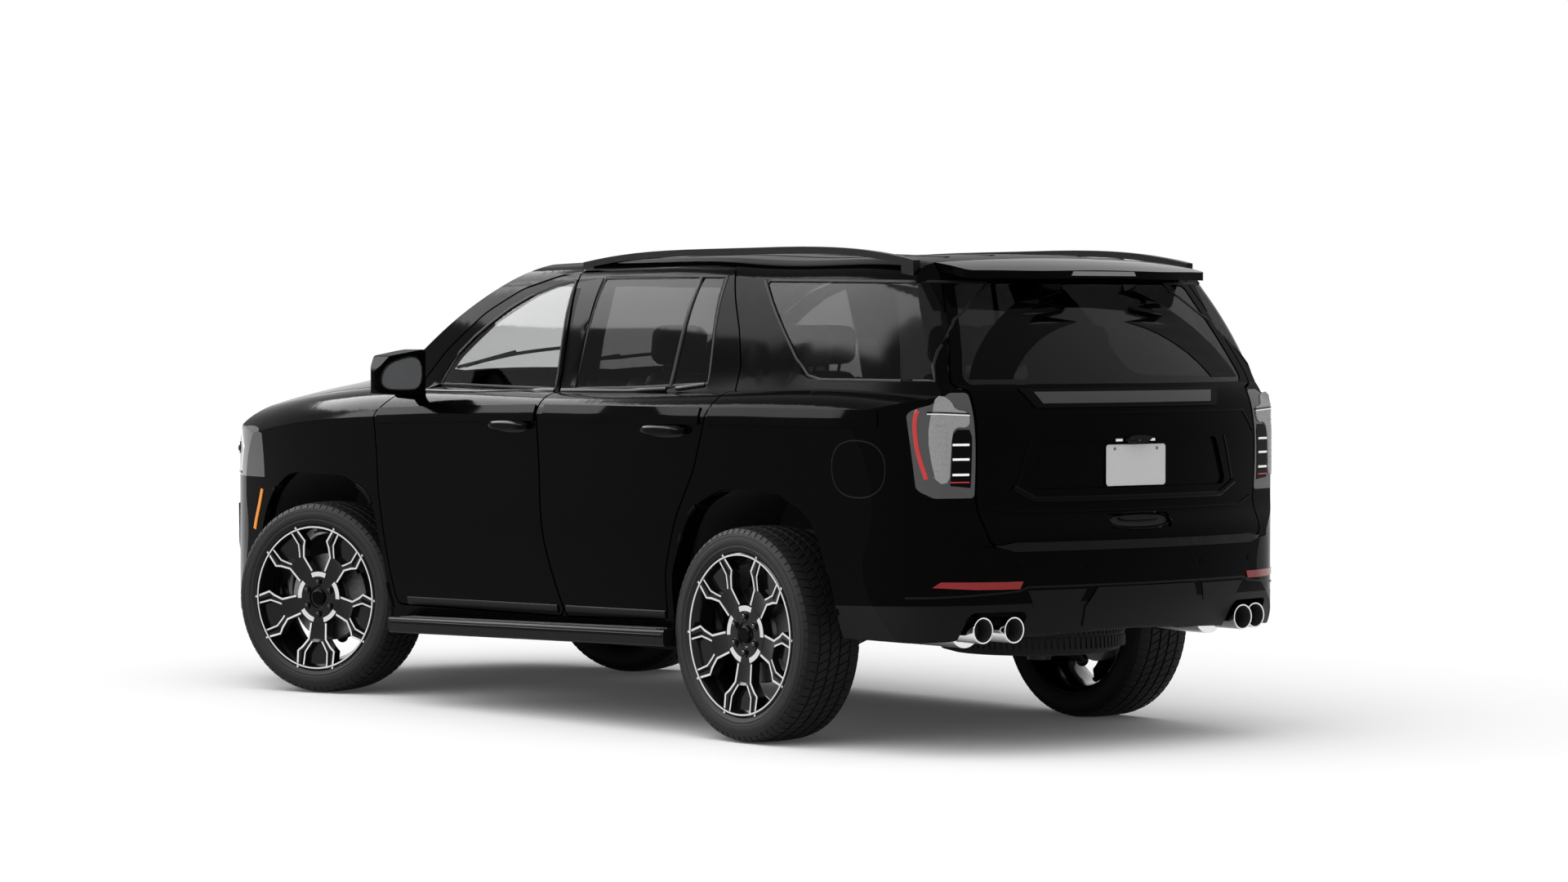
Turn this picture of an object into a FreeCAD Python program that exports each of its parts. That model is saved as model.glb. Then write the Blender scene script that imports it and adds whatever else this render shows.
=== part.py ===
import FreeCAD, Part
import math
import os

V = FreeCAD.Vector

# Overall size and stance, from the wheelbase and tyre size of this class of vehicle
length = 5308.0
width = 2058.0
height = 1930.0
wheelbase = 3071.0
front_axle_x = 1640.0
rear_axle_x = front_axle_x - wheelbase
track = 1742.0
wheel_y = track / 2
tyre_radius = 419.0
tyre_width = 285.0
kingpin_y = 800.0
steer_at_rest = 20.4

# Walls and gaps
door_depth = 75.0
hood_depth = 30.0
roof_depth = 38.0
gate_depth = 60.0
shut_gap = 8.5
sweep_clearance = 5.0
fit_gap = 0.3
flange_depth = 12.0
flange_reach = 13.0
gate_reach = 17.0
glass_sink = 4.0
glass_thickness = 5.0
overrun = 60.0


def side_points(shares):
    return [(s[0] * length, s[1] * height) + tuple(r * height for r in s[2:]) for s in shares]


def plan_points(shares):
    return [(s[0] * length, s[1] * width) + tuple(r * width for r in s[2:]) for s in shares]


def rear_points(shares):
    return [(s[0] * width, s[1] * height) + tuple(r * height for r in s[2:]) for s in shares]


def at_side(y):
    return lambda a, b: V(a, y, b)


def at_plan(z):
    return lambda a, b: V(a, b, z)


def at_rear(x):
    return lambda a, b: V(x, a, b)


def spline(points):
    curve = Part.BSplineCurve()
    curve.interpolate(points)
    return curve.toShape()


def line(a, b):
    return Part.LineSegment(a, b).toShape()


def rounded_wire(corners, place):
    """Closed outline with each corner (a, b, radius) rounded by an arc."""
    runs = []
    count = len(corners)
    for i, (a, b, radius) in enumerate(corners):
        here = FreeCAD.Vector(a, b, 0)
        before = FreeCAD.Vector(corners[i - 1][0], corners[i - 1][1], 0) - here
        after = FreeCAD.Vector(corners[(i + 1) % count][0], corners[(i + 1) % count][1], 0) - here
        half = before.getAngle(after) / 2
        room = min(before.Length, after.Length) * corner_room_share
        back = min(radius / math.tan(half), room)
        radius = back * math.tan(half)
        before.normalize()
        after.normalize()
        bisector = before + after
        if bisector.Length < straight_share or back < straight_tolerance:
            runs.append((here, None, here))
            continue
        bisector.normalize()
        start = here + before * back
        end = here + after * back
        middle = here + bisector * (radius / math.sin(half) - radius)
        runs.append((start, middle, end))
    edges = []
    for i, (start, middle, end) in enumerate(runs):
        if middle is not None:
            points = [place(p.x, p.y) for p in (start, middle, end)]
            edges.append(Part.Arc(*points).toShape())
        following = runs[(i + 1) % count][0]
        if (following - end).Length > straight_tolerance:
            edges.append(line(place(end.x, end.y), place(following.x, following.y)))
    return Part.Wire(edges)


corner_room_share = 0.48
straight_tolerance = 0.01
straight_share = 0.004


def prism(corners, place, sweep):
    return Part.Face(rounded_wire(corners, place)).extrude(sweep)


def side_prism(corners, y_from, y_to):
    return prism(corners, at_side(y_from), V(0, y_to - y_from, 0))


def plan_prism(corners, z_from, z_to):
    return prism(corners, at_plan(z_from), V(0, 0, z_to - z_from))


def rear_prism(corners, x_from, x_to):
    return prism(corners, at_rear(x_from), V(x_to - x_from, 0, 0))


def grown_prism(corners, place, sweep, grow):
    wire = rounded_wire(corners, place)
    if grow:
        wire = wire.makeOffset2D(grow, 0, False, False, True)
    return Part.Face(wire).extrude(sweep)


def grown_side(corners, y_from, y_to, grow):
    return grown_prism(corners, at_side(y_from), V(0, y_to - y_from, 0), grow)


def block(x0, x1, y0, y1, z0, z1):
    return Part.makeBox(x1 - x0, y1 - y0, z1 - z0, V(x0, y0, z0))


def tube_along(points, radius):
    """Round bar through the points, with ball joints at the bends."""
    bar = None
    for a, b in zip(points, points[1:]):
        piece = Part.makeCylinder(radius, (b - a).Length, a, b - a)
        bar = piece if bar is None else bar.fuse(piece)
    for p in points[1:-1]:
        bar = bar.fuse(Part.makeSphere(radius, p))
    return bar


def mirrored(shape):
    return shape.mirror(V(0, 0, 0), V(0, 1, 0))


def both(shape):
    return Part.makeCompound([shape, mirrored(shape)])


def save(name, shape):
    solids = [s for s in shape.Solids if s.Volume > smallest_solid]
    whole = Part.makeCompound(solids) if len(solids) > 1 else solids[0]
    whole.exportStep("parts/" + name + ".step")
    print(name, len(solids), round(whole.Volume), whole.isValid(), len(whole.Faces))


smallest_solid = 2000.0

# Body surface: stations along the car, front to rear. Each gives the place along the length,
# the half width and height of the shoulder, the half width and height of the top edge, and
# the height of the crown
lower_station_shares = [
    (0.52, 0.4373, 0.5104, 0.3401, 0.5803, 0.6114), (0.405, 0.4723, 0.5803, 0.3887, 0.6539, 0.6995),
    (0.309, 0.4874, 0.6166, 0.4033, 0.6829, 0.7295), (0.2027, 0.4874, 0.6332, 0.4179, 0.6984, 0.7409),
    (0, 0.4874, 0.6477, 0.4446, 0.6917, 0.7358), (-0.2261, 0.4874, 0.6513, 0.4446, 0.6995, 0.7358),
    (-0.3768, 0.4786, 0.6528, 0.4325, 0.7047, 0.7358), (-0.52, 0.4519, 0.6528, 0.413, 0.7047, 0.7358),
]
floor_line = 330.0
rocker_z = 480.0
crease_z = 750.0
hollow_z = 980.0
sill_tuck = 62.0
rocker_tuck = 30.0
crease_tuck = 12.0
hollow_tuck = 16.0
shoulder_roll_share = 0.34
shoulder_rise_share = 0.62
crown_spread_share = 0.55
crown_rise_share = 0.78


def lower_section(x, half, shoulder_z, edge_y, edge_z, crown_z, inset, drop):
    half = half - inset
    edge_y = edge_y - inset
    edge_z = edge_z - inset
    crown_z = crown_z - inset
    shoulder_z = shoulder_z - inset * shoulder_rise_share
    roll_y = half - shoulder_roll_share * (half - edge_y)
    roll_z = shoulder_z + shoulder_rise_share * (edge_z - shoulder_z)
    side = [
        (half - sill_tuck, floor_line - drop),
        (half - rocker_tuck, rocker_z),
        (half - crease_tuck, crease_z),
        (half - hollow_tuck, hollow_z),
        (half, shoulder_z),
        (roll_y, roll_z),
        (edge_y, edge_z),
    ]
    left = [V(x, y, z) for y, z in side]
    right = [V(x, -y, z) for y, z in side]
    spread = edge_y * crown_spread_share
    rise = edge_z + crown_rise_share * (crown_z - edge_z)
    crown = [left[-1], V(x, spread, rise), V(x, 0, crown_z), V(x, -spread, rise), right[-1]]
    edges = [
        spline(left[0:3]),
        spline(left[2:5]),
        spline(left[4:7]),
        spline(crown),
        spline(right[6:3:-1]),
        spline(right[4:1:-1]),
        spline(right[2::-1]),
        line(right[0], left[0]),
    ]
    return Part.Wire(edges)


def lower_solid(inset, drop):
    wires = []
    for x, half, shoulder_z, edge_y, edge_z, crown_z in lower_station_shares:
        wires.append(lower_section(x * length, half * width, shoulder_z * height, edge_y * width,
                                   edge_z * height, crown_z * height, inset, drop))
    return Part.makeLoft(wires, True, False)


# Cab surface: place along the length, width factor and roof height of each station
cab_station_shares = [
    (0.2732, 0.925, 0.9378), (0.1696, 0.965, 0.9679), (0.0565, 1, 0.9782), (-0.0565, 1, 0.9845),
    (-0.1884, 1, 0.9855), (-0.3203, 0.985, 0.9793), (-0.4145, 0.965, 0.9658), (-0.4559, 0.95, 0.942),
    (-0.52, 0.925, 0.8912),
]
cab_foot_y = 915.0
cab_foot_z = 1240.0
cab_belt_y = 880.0
cab_belt_z = 1352.0
cab_mid_y = 842.0
cab_mid_z = 1570.0
cab_top_y = 778.0
cab_top_drop = 112.0
cab_roll_y = 740.0
cab_roll_drop = 56.0
cab_edge_y = 660.0
cab_edge_drop = 22.0
roof_shoulder_y = 350.0
roof_shoulder_drop = 6.0


def cab_section(x, factor, roof_z, inset):
    roof_z = roof_z - inset
    side = [
        (cab_foot_y * factor - inset, cab_foot_z),
        (cab_belt_y * factor - inset, cab_belt_z),
        (cab_mid_y * factor - inset, cab_mid_z),
        (cab_top_y * factor - inset, roof_z - cab_top_drop + inset / 2),
        (cab_roll_y * factor - inset, roof_z - cab_roll_drop + inset / 4),
        (cab_edge_y * factor - inset, roof_z - cab_edge_drop),
    ]
    left = [V(x, y, z) for y, z in side]
    right = [V(x, -y, z) for y, z in side]
    shoulder = roof_shoulder_y * factor
    crown_z = roof_z - roof_shoulder_drop
    crown = [left[5], V(x, shoulder, crown_z), V(x, 0, roof_z), V(x, -shoulder, crown_z), right[5]]
    edges = [
        spline(left[0:4]),
        spline(left[3:6]),
        spline(crown),
        spline(right[5:2:-1]),
        spline(right[3::-1]),
        line(right[0], left[0]),
    ]
    return Part.Wire(edges)


def cab_solid(inset):
    wires = []
    for x, factor, roof_z in cab_station_shares:
        wires.append(cab_section(x * length, factor, roof_z * height, inset))
    return Part.makeLoft(wires, True, False)


# Trimming surfaces: nose, tail and windscreen are bowed about upright axes
nose_profile_shares = [
    (0.4597, 0.1114), (0.4823, 0.1358), (0.4951, 0.2073), (0.4992, 0.2902), (0.5, 0.3627),
    (0.4989, 0.4352), (0.4955, 0.5078), (0.4894, 0.5648), (0.4795, 0.6036), (0.4597, 0.6399),
    (0.4333, 0.6736),
]
tail_profile_shares = [
    (-0.4691, 0.1554), (-0.4802, 0.2212), (-0.4917, 0.2694), (-0.4983, 0.3109), (-0.5, 0.3627),
    (-0.4992, 0.4073),
]
gate_profile_shares = [
    (-0.4966, 0.4114), (-0.4947, 0.4404), (-0.4887, 0.4741), (-0.4879, 0.5181), (-0.4887, 0.5803),
    (-0.4876, 0.6425), (-0.4834, 0.6891), (-0.4766, 0.7202),
]
rear_glass_profile_shares = [
    (-0.4766, 0.7202), (-0.4569, 0.8187), (-0.4344, 0.9119), (-0.4239, 0.9534), (-0.4126, 0.9948),
]
screen_profile_shares = [
    (0.2713, 0.6839), (0.2427, 0.7316), (0.214, 0.7777), (0.1876, 0.8223), (0.1503, 0.8793),
    (0.1106, 0.9306), (0.0754, 0.9648), (0.0339, 0.9922), (-0.0038, 1.0104),
]
nose_axis_x = 900.0
tail_axis_x = 46.0
screen_axis_x = -1200.0
corner_plan_shares = [
    (0.52, 0.1458), (0.4974, 0.2721), (0.4823, 0.3426), (0.4625, 0.3946), (0.4346, 0.4373),
    (0.405, 0.4674), (0.3674, 0.4859), (0.3203, 0.4937),
]
rear_corner_plan_shares = [
    (-0.2826, 0.4937), (-0.358, 0.4859), (-0.405, 0.4704), (-0.4399, 0.45), (-0.4569, 0.4276),
    (-0.4691, 0.396), (-0.4823, 0.3353), (-0.52, 0.1458),
]
body_top = 2100.0
body_bottom = 100.0


def bowed_cutter(curves, axis_x, side, shift_x, shift_z):
    """What lies beyond a surface of revolution about an upright axis; side is +1 ahead, -1 behind."""
    edges = [spline([V(x + shift_x, 0, z + shift_z) for x, z in side_points(c)]) for c in curves]
    first = edges[0].Vertexes[0].Point
    last = edges[-1].Vertexes[-1].Point
    rim = []
    for a, b in zip(edges, edges[1:]):
        gap_from = a.Vertexes[-1].Point
        gap_to = b.Vertexes[0].Point
        rim.append(a)
        if (gap_to - gap_from).Length > straight_tolerance:
            rim.append(line(gap_from, gap_to))
    rim.append(edges[-1])
    far = axis_x + side * far_reach
    outer_top = V(far, 0, last.z)
    outer_bottom = V(far, 0, first.z)
    rim += [line(last, outer_top), line(outer_top, outer_bottom), line(outer_bottom, first)]
    face = Part.Face(Part.Wire(rim))
    face.rotate(V(axis_x, 0, 0), V(0, 0, 1), -sweep_turn / 2)
    return face.revolve(V(axis_x, 0, 0), V(0, 0, 1), sweep_turn)


far_reach = 4300.0
sweep_turn = 90.0


def beyond_nose(inset):
    cutter = bowed_cutter([nose_profile_shares], nose_axis_x, 1, -inset, -inset / 2)
    return cutter


def beyond_tail(inset):
    curves = [tail_profile_shares, gate_profile_shares, rear_glass_profile_shares]
    return bowed_cutter(curves, tail_axis_x, -1, inset, 0)


def beyond_screen(inset):
    return bowed_cutter([screen_profile_shares], screen_axis_x, 1, -inset / 2, -inset)


def corner_cage(inset):
    """Upright wall that rounds the four corners seen from above."""
    front = [V(x, y - inset, body_bottom) for x, y in plan_points(corner_plan_shares)]
    rear = [V(x, y - inset, body_bottom) for x, y in plan_points(rear_corner_plan_shares)]
    flip = [V(p.x, -p.y, p.z) for p in front]
    flop = [V(p.x, -p.y, p.z) for p in rear]
    rim = Part.Wire([
        spline(front), line(front[-1], rear[0]), spline(rear), line(rear[-1], flop[-1]),
        spline(flop[::-1]), line(flop[0], flip[-1]), spline(flip[::-1]), line(flip[0], front[0]),
    ])
    return Part.Face(rim).extrude(V(0, 0, body_top - body_bottom))


def body_solid(lower_inset, cab_inset, end_inset, drop):
    lower = lower_solid(lower_inset, drop).common(corner_cage(lower_inset))
    lower = lower.cut(beyond_nose(end_inset))
    cab = cab_solid(cab_inset).cut(beyond_screen(cab_inset))
    return lower.fuse(cab).cut(beyond_tail(end_inset))


def trimmed_lower(inset, end_inset, drop):
    lower = lower_solid(inset, drop).common(corner_cage(inset))
    return lower.cut(beyond_nose(end_inset)).cut(beyond_tail(end_inset))


bulkhead_x = 1086.0
cowl_z = 1335.0
cowl_thickness = 18.0
reach = 3000.0
cavity_drop = 100.0

# Outlines seen from the side, as corners (x, z, radius)
front_door_shares = [
    (0.1812, 0.2202, 0.0207), (0.1891, 0.3316, 0.1554), (0.2029, 0.4663, 0.2591),
    (0.2042, 0.6404, 0.0207), (0.1907, 0.6725, 0.0311), (0.1705, 0.7254, 0.0311),
    (0.1469, 0.7782, 0.1554), (0.098, 0.8601, 0.2591), (0.0546, 0.9119, 0.2073),
    (0.0113, 0.9389, 0.1554), (-0.0136, 0.9461, 0.0041), (-0.0166, 0.8497, 0.2591),
    (-0.0173, 0.6425, 0.2073), (-0.0181, 0.4249, 0.3109), (-0.0471, 0.2244, 0.0155),
]
rear_door_shares = [
    (-0.02, 0.8497, 0.2591), (-0.0154, 0.9472, 0.0041), (-0.1319, 0.9523, 0.2073),
    (-0.2057, 0.9472, 0.0155), (-0.2287, 0.829, 0.2073), (-0.2359, 0.7523, 0.0311),
    (-0.2329, 0.6891, 0.1036), (-0.211, 0.544, 0.1554), (-0.1891, 0.4456, 0.2073),
    (-0.1778, 0.3316, 0.1036), (-0.1763, 0.2358, 0.0155), (-0.0494, 0.2249, 0.0104),
    (-0.02, 0.4249, 0.3109), (-0.0192, 0.6425, 0.2073),
]
front_glass_shares = [
    (0.1579, 0.7005, 0.0062), (0.1319, 0.7658, 0.1036), (0.0884, 0.8399, 0.3109),
    (0.0409, 0.8995, 0.2591), (0.0132, 0.9212, 0.1554), (-0.0109, 0.9301, 0.0083),
    (-0.0121, 0.7005, 0.0083),
]
rear_glass_shares = [
    (-0.035, 0.7005, 0.0073), (-0.0486, 0.9337, 0.0083), (-0.1971, 0.9337, 0.0083),
    (-0.2001, 0.7171, 0.0155), (-0.1658, 0.7047, 0.0466),
]
quarter_glass_shares = [
    (-0.246, 0.9254, 0.0073), (-0.298, 0.772, 0.1036), (-0.3109, 0.7295, 0.0311),
    (-0.4465, 0.7275, 0.0083), (-0.4261, 0.9202, 0.0083),
]
front_arch_shares = [
    (0.1884, 0.1554, 0), (0.1959, 0.3212, 0.1036), (0.211, 0.4456, 0.1554), (0.2506, 0.4984, 0.1347),
    (0.3353, 0.5005, 0.1347), (0.3696, 0.4466, 0.1347), (0.3866, 0.3212, 0.1036), (0.3994, 0.1554, 0),
]
rear_arch_shares = [
    (-0.1824, 0.1554, 0), (-0.1865, 0.3316, 0.1036), (-0.2072, 0.4663, 0.1347),
    (-0.243, 0.5057, 0.1036), (-0.3033, 0.5067, 0.1347), (-0.3448, 0.456, 0.1347),
    (-0.3664, 0.3316, 0.1244), (-0.3787, 0.1554, 0),
]
front_bumper_shares = [
    (0.358, 0.1036, 0), (0.358, 0.4342, 0), (0.3881, 0.456, 0.0622), (0.4201, 0.4819, 0.0311),
    (0.5463, 0.4819, 0), (0.5463, 0.1036, 0),
]
rear_bumper_shares = [
    (-0.3203, 0.1295, 0), (-0.3203, 0.4674, 0), (-0.4371, 0.486, 0.1554), (-0.5463, 0.5104, 0),
    (-0.5463, 0.1295, 0),
]
valance_shares = [
    (-0.3203, 0.1295, 0), (-0.3203, 0.2839, 0), (-0.3956, 0.2912, 0.0311), (-0.5463, 0.3047, 0),
    (-0.5463, 0.1295, 0),
]

# Outlines seen from behind, as corners (y, z, radius)
gate_shares = [
    (0.3401, 0.4124, 0.0207), (0.3508, 0.5078, 0.0311), (0.3489, 0.7109, 0.0062),
    (0.3771, 0.7202, 0.0104), (0.3712, 0.7461, 0.0311), (0.3071, 0.9326, 0.0311), (0.3071, 1.0622, 0),
    (-0.3071, 1.0622, 0), (-0.3071, 0.9326, 0.0311), (-0.3712, 0.7461, 0.0311),
    (-0.3771, 0.7202, 0.0104), (-0.3489, 0.7109, 0.0062), (-0.3508, 0.5078, 0.0311),
    (-0.3401, 0.4124, 0.0207),
]
gate_glass_shares = [
    (0.3571, 0.7212, 0.0155), (0.2915, 0.9161, 0.0155), (-0.2915, 0.9161, 0.0155),
    (-0.3571, 0.7212, 0.0155),
]
tail_lamp_shares = [
    (0.3552, 0.5036, 0.0073), (0.3552, 0.7057, 0.0073), (0.3887, 0.7057, 0.0207),
    (0.4519, 0.6715, 0.0207), (0.4441, 0.5181, 0.0207), (0.4276, 0.5036, 0.0104),
]
plate_recess_shares = [
    (0.2196, 0.6135, 0.0104), (0.2546, 0.5181, 0.0124), (-0.2546, 0.5181, 0.0124),
    (-0.2196, 0.6135, 0.0104),
]
handle_recess_shares = [
    (0.0768, 0.4674, 0.0073), (0.0768, 0.4383, 0.0073), (-0.0768, 0.4383, 0.0073),
    (-0.0768, 0.4674, 0.0073),
]
recess_x = -2480.0
gate_seam_x = -2150.0
quarter_inner_y = 690.0

# Outlines seen from above, as corners (x, y, radius)
hood_shares = [
    (0.52, 0.3741, 0), (0.52, -0.3741, 0), (0.2204, -0.3994, 0.0194), (0.2534, -0.1361, 0.3401),
    (0.2534, 0.1361, 0.3401), (0.2204, 0.3994, 0.0194),
]
screen_shares = [
    (0.2148, 0.3605, 0.0194), (0.2423, 0.1458, 0.2915), (0.2423, -0.1458, 0.2915),
    (0.2148, -0.3605, 0.0194), (0.0791, -0.3246, 0.0292), (0.0965, -0.0972, 0.2915),
    (0.0965, 0.0972, 0.2915), (0.0791, 0.3246, 0.0292),
]
roof_shares = [
    (0.1206, 0.3362, 0), (0.1206, -0.3362, 0), (-0.4039, -0.3362, 0), (-0.4039, 0.3362, 0),
]
hood_seam_z = 1098.0
head_lamp_shares = [
    (0.311, 0.485, 0.0052), (0.311, 0.5648, 0.0104), (0.4762, 0.6062, 0.0155), (0.4859, 0.485, 0.0104),
]
head_lamp_rear_x = 2010.0
grille_shares = [
    (0.2915, 0.2902, 0.0207), (0.3071, 0.5622, 0.0104), (-0.3071, 0.5622, 0.0104),
    (-0.2915, 0.2902, 0.0207),
]
grille_frame = 34.0
grille_bars = 9
grille_bar_height = 16.0


fender_shares = [
    (0.1658, 0.1036, 0), (0.1745, 0.2062, 0), (0.1869, 0.3316, 0.1554), (0.2012, 0.4663, 0.2591),
    (0.2035, 0.6404, 0.0207), (0.1929, 0.6715, 0.0207), (0.2185, 0.7005, 0), (0.5463, 0.7005, 0),
    (0.5463, 0.1036, 0),
]
spoiler_shares = [
    (-0.4054, 0.3052, 0), (-0.4386, 0.3013, 0.0194), (-0.4529, 0.1555, 0.4373),
    (-0.4529, -0.1555, 0.4373), (-0.4386, -0.3013, 0.0194), (-0.4054, -0.3052, 0),
]
spoiler_thickness = 30.0
leaf_half = 32.0
leaf_inner_y = 915.0
leaf_outer_y = 945.0
leaf_bite = 2.0
front_leaf_shares = [(0.1903, 0.3212), (0.2012, 0.4663)]
rear_leaf_shares = [(-0.0283, 0.3316), (-0.0198, 0.5596)]
rear_leaf_width = 14.0
hood_leaf_y = (690.0, 750.0)
gate_leaf_y = (380.0, 440.0)
gate_leaf_low_z = 1785.0
roof_low_z = 1500.0


def bounded(x0, x1, z0, z1):
    return block(x0, x1, -width, width, z0, z1)


def halved(shape):
    """The same shape with a hairline joint down the middle of the vehicle."""
    return shape.cut(block(-length, length, -fit_gap / 2, fit_gap / 2, 0, height))


def make_surfaces():
    outer = body_solid(0, 0, 0, 0)
    cabin = body_solid(door_depth, roof_depth, gate_depth, cavity_drop)
    cabin = cabin.cut(bounded(bulkhead_x, reach, 0, cowl_z))
    bay = trimmed_lower(hood_depth, hood_depth, cavity_drop)
    bay = bay.common(bounded(bulkhead_x, reach, 0, cowl_z - cowl_thickness).fuse(
        bounded(front_axle_x - tyre_radius, reach, 0, body_top)))
    shell = outer.cut(cabin).cut(bay)
    return outer, shell, cabin.fuse(bay)


def arch_cut(shell):
    for shares in (front_arch_shares, rear_arch_shares):
        shell = shell.cut(side_prism(side_points(shares), -width, width))
    return shell


def flanged(panel, skin, corners, place, sweep, setback):
    """Panel with a thin outer flange all round; the rest of its depth stands back."""
    around = grown_prism(corners, place, sweep, shut_gap)
    ring = around.cut(grown_prism(corners, place, sweep, -setback))
    return panel.cut(ring.common(skin))


# Wheel and tyre
rim_seat_radius = 305.0
rim_lip_radius = 318.0
rim_lip_thickness = 9.0
rim_half_width = 136.0
rim_wall = 8.0
rim_well_radius = 268.0
rim_well_half = 60.0
tyre_shoulder = 26.0
tyre_tread_half = 116.0
tyre_bulge_radius = 356.0
tyre_bead_half = 124.0
tread_crown = 5.0
groove_depth = 8.0
groove_half = 5.0
groove_places = (-78.0, -27.0, 27.0, 78.0)
hub_radius = 66.0
hub_inner = -42.0
hub_face = 104.0
cap_radius = 36.0
cap_rise = 5.0
stud_circle = 70.0
stud_radius = 10.5
stud_length = 14.0
stud_count = 6
disc_radius = 190.0
disc_inner = 2.0
disc_outer = 32.0
spoke_count = 5
spoke_plan_shares = ((0.0, 0.17), (0.22, 0.085), (0.5, 0.075), (0.62, 0.2), (0.98, 0.235))
spoke_slot_shares = ((0.56, 0.0), (0.72, 0.085), (0.98, 0.12))
spoke_depth = 34.0
spoke_dish = 30.0


def turned(profile):
    """Ring about the Y axis from (radius, y) points."""
    points = [V(r, y, 0) for r, y in profile]
    edges = [line(a, b) for a, b in zip(points, points[1:] + points[:1])]
    return Part.Face(Part.Wire(edges)).revolve(V(0, 0, 0), V(0, 1, 0), 360)


def make_tyre():
    half = tyre_width / 2
    profile = [
        (rim_seat_radius + fit_gap, -tyre_bead_half),
        (rim_lip_radius, -tyre_bead_half),
        (tyre_bulge_radius, -half),
        (tyre_radius - tyre_shoulder, -half + tyre_shoulder / 3),
        (tyre_radius - tread_crown, -tyre_tread_half),
        (tyre_radius, -tyre_tread_half / 2),
    ]
    for place in groove_places:
        if abs(place) < tyre_tread_half / 2:
            profile += [
                (tyre_radius, place - groove_half), (tyre_radius - groove_depth, place - groove_half),
                (tyre_radius - groove_depth, place + groove_half), (tyre_radius, place + groove_half),
            ]
    profile += [(r, -y) for r, y in profile[5::-1]]
    return turned(profile)


def spoke_outline(shares, side):
    return [V(-side * b * rim_seat_radius, 0, a * rim_seat_radius) for a, b in shares]


def make_rim():
    lip = rim_half_width
    barrel = turned([
        (rim_seat_radius, -lip + rim_lip_thickness), (rim_lip_radius, -lip + rim_lip_thickness), (rim_lip_radius, -lip),
        (rim_seat_radius - rim_wall, -lip), (rim_well_radius - rim_wall, -rim_well_half),
        (rim_well_radius - rim_wall, rim_well_half / 2), (rim_seat_radius - 2 * rim_wall, lip - 3 * rim_wall),
        (rim_seat_radius - rim_wall, lip), (rim_lip_radius, lip), (rim_lip_radius, lip - rim_lip_thickness),
        (rim_seat_radius, lip - rim_lip_thickness), (rim_seat_radius, lip - 3 * rim_wall),
        (rim_well_radius, rim_well_half / 2), (rim_well_radius, -rim_well_half),
        (rim_seat_radius, -lip + 3 * rim_wall),
    ])
    spokes = None
    for i in range(spoke_count):
        left = spoke_outline(spoke_plan_shares, 1)
        right = spoke_outline(spoke_plan_shares, -1)
        rim = left + right[::-1]
        blank = Part.Face(Part.makePolygon(rim + rim[:1])).extrude(V(0, hub_face + spoke_dish, 0))
        slot = [left_point for left_point in spoke_outline(spoke_slot_shares, 1)]
        slot += spoke_outline(spoke_slot_shares, -1)[:0:-1]
        window = Part.Face(Part.makePolygon(slot + slot[:1])).extrude(V(0, hub_face + spoke_dish, 0))
        spoke = blank.cut(window)
        spoke.rotate(V(0, 0, 0), V(0, 1, 0), 180 + 360 * i / spoke_count)
        spokes = spoke if spokes is None else spokes.fuse(spoke)
    outer_face = hub_face + spoke_dish - rim_wall / 2
    dish = turned([
        (0, hub_face - spoke_depth), (hub_radius, hub_face - spoke_depth),
        (rim_seat_radius - rim_wall / 2, outer_face - spoke_depth), (rim_seat_radius - rim_wall / 2, outer_face),
        (hub_radius, hub_face), (0, hub_face),
    ])
    wheel = barrel.fuse(spokes.common(dish))
    hub = Part.makeCylinder(hub_radius, hub_face - hub_inner, V(0, hub_inner, 0), V(0, 1, 0))
    disc = Part.makeCylinder(disc_radius, disc_outer - disc_inner, V(0, disc_inner, 0), V(0, 1, 0))
    wheel = wheel.fuse([hub, disc])
    cap = Part.makeCone(cap_radius, cap_radius - cap_rise, cap_rise, V(0, hub_face, 0), V(0, 1, 0))
    studs = []
    for i in range(stud_count):
        turn = math.radians(360 * (i + 0.5) / stud_count)
        foot = V(stud_circle * math.sin(turn), hub_face - stud_length, stud_circle * math.cos(turn))
        studs.append(Part.makeCylinder(stud_radius, 2 * stud_length, foot, V(0, 1, 0)))
    return wheel.fuse([cap] + studs)


def placed_wheel(shape, axle_x, side, steered):
    wheel = shape.copy()
    if side < 0:
        wheel = mirrored(wheel)
    wheel.translate(V(axle_x, side * wheel_y, tyre_radius))
    if steered:
        wheel.rotate(V(axle_x, side * kingpin_y, 0), V(0, 0, 1), steer_at_rest)
    return wheel


# Knuckles, hubs and suspension
upright_half = 46.0
upright_thickness = 34.0
ball_low_z = 262.0
ball_high_z = 596.0
ball_radius = 26.0
bearing_radius = 72.0
caliper_span = 62.0
caliper_inner_share = 0.66
caliper_rim_gap = 8.0
caliper_wall = 16.0
steer_arm_reach = 150.0
steer_arm_radius = 15.0


def make_caliper():
    """Caliper over the rear edge of the disc, in the wheel's own frame."""
    ring = turned([
        (disc_radius * caliper_inner_share, disc_inner - fit_gap - 2 * caliper_wall),
        (disc_radius + caliper_rim_gap + caliper_wall, disc_inner - fit_gap - 2 * caliper_wall),
        (disc_radius + caliper_rim_gap + caliper_wall, disc_outer + fit_gap + caliper_wall),
        (disc_radius * caliper_inner_share, disc_outer + fit_gap + caliper_wall),
    ])
    slot = turned([
        (0, disc_inner - fit_gap), (disc_radius + caliper_rim_gap, disc_inner - fit_gap),
        (disc_radius + caliper_rim_gap, disc_outer + fit_gap), (0, disc_outer + fit_gap),
    ])
    reach_back = disc_radius * 2
    spread = reach_back * math.tan(math.radians(caliper_span / 2))
    corners = [V(0, -tyre_width / 2, 0), V(-reach_back, -tyre_width / 2, spread),
               V(-reach_back, -tyre_width / 2, -spread)]
    wedge = Part.Face(Part.makePolygon(corners + corners[:1])).extrude(V(0, tyre_width, 0))
    return ring.cut(slot).common(wedge)


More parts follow.
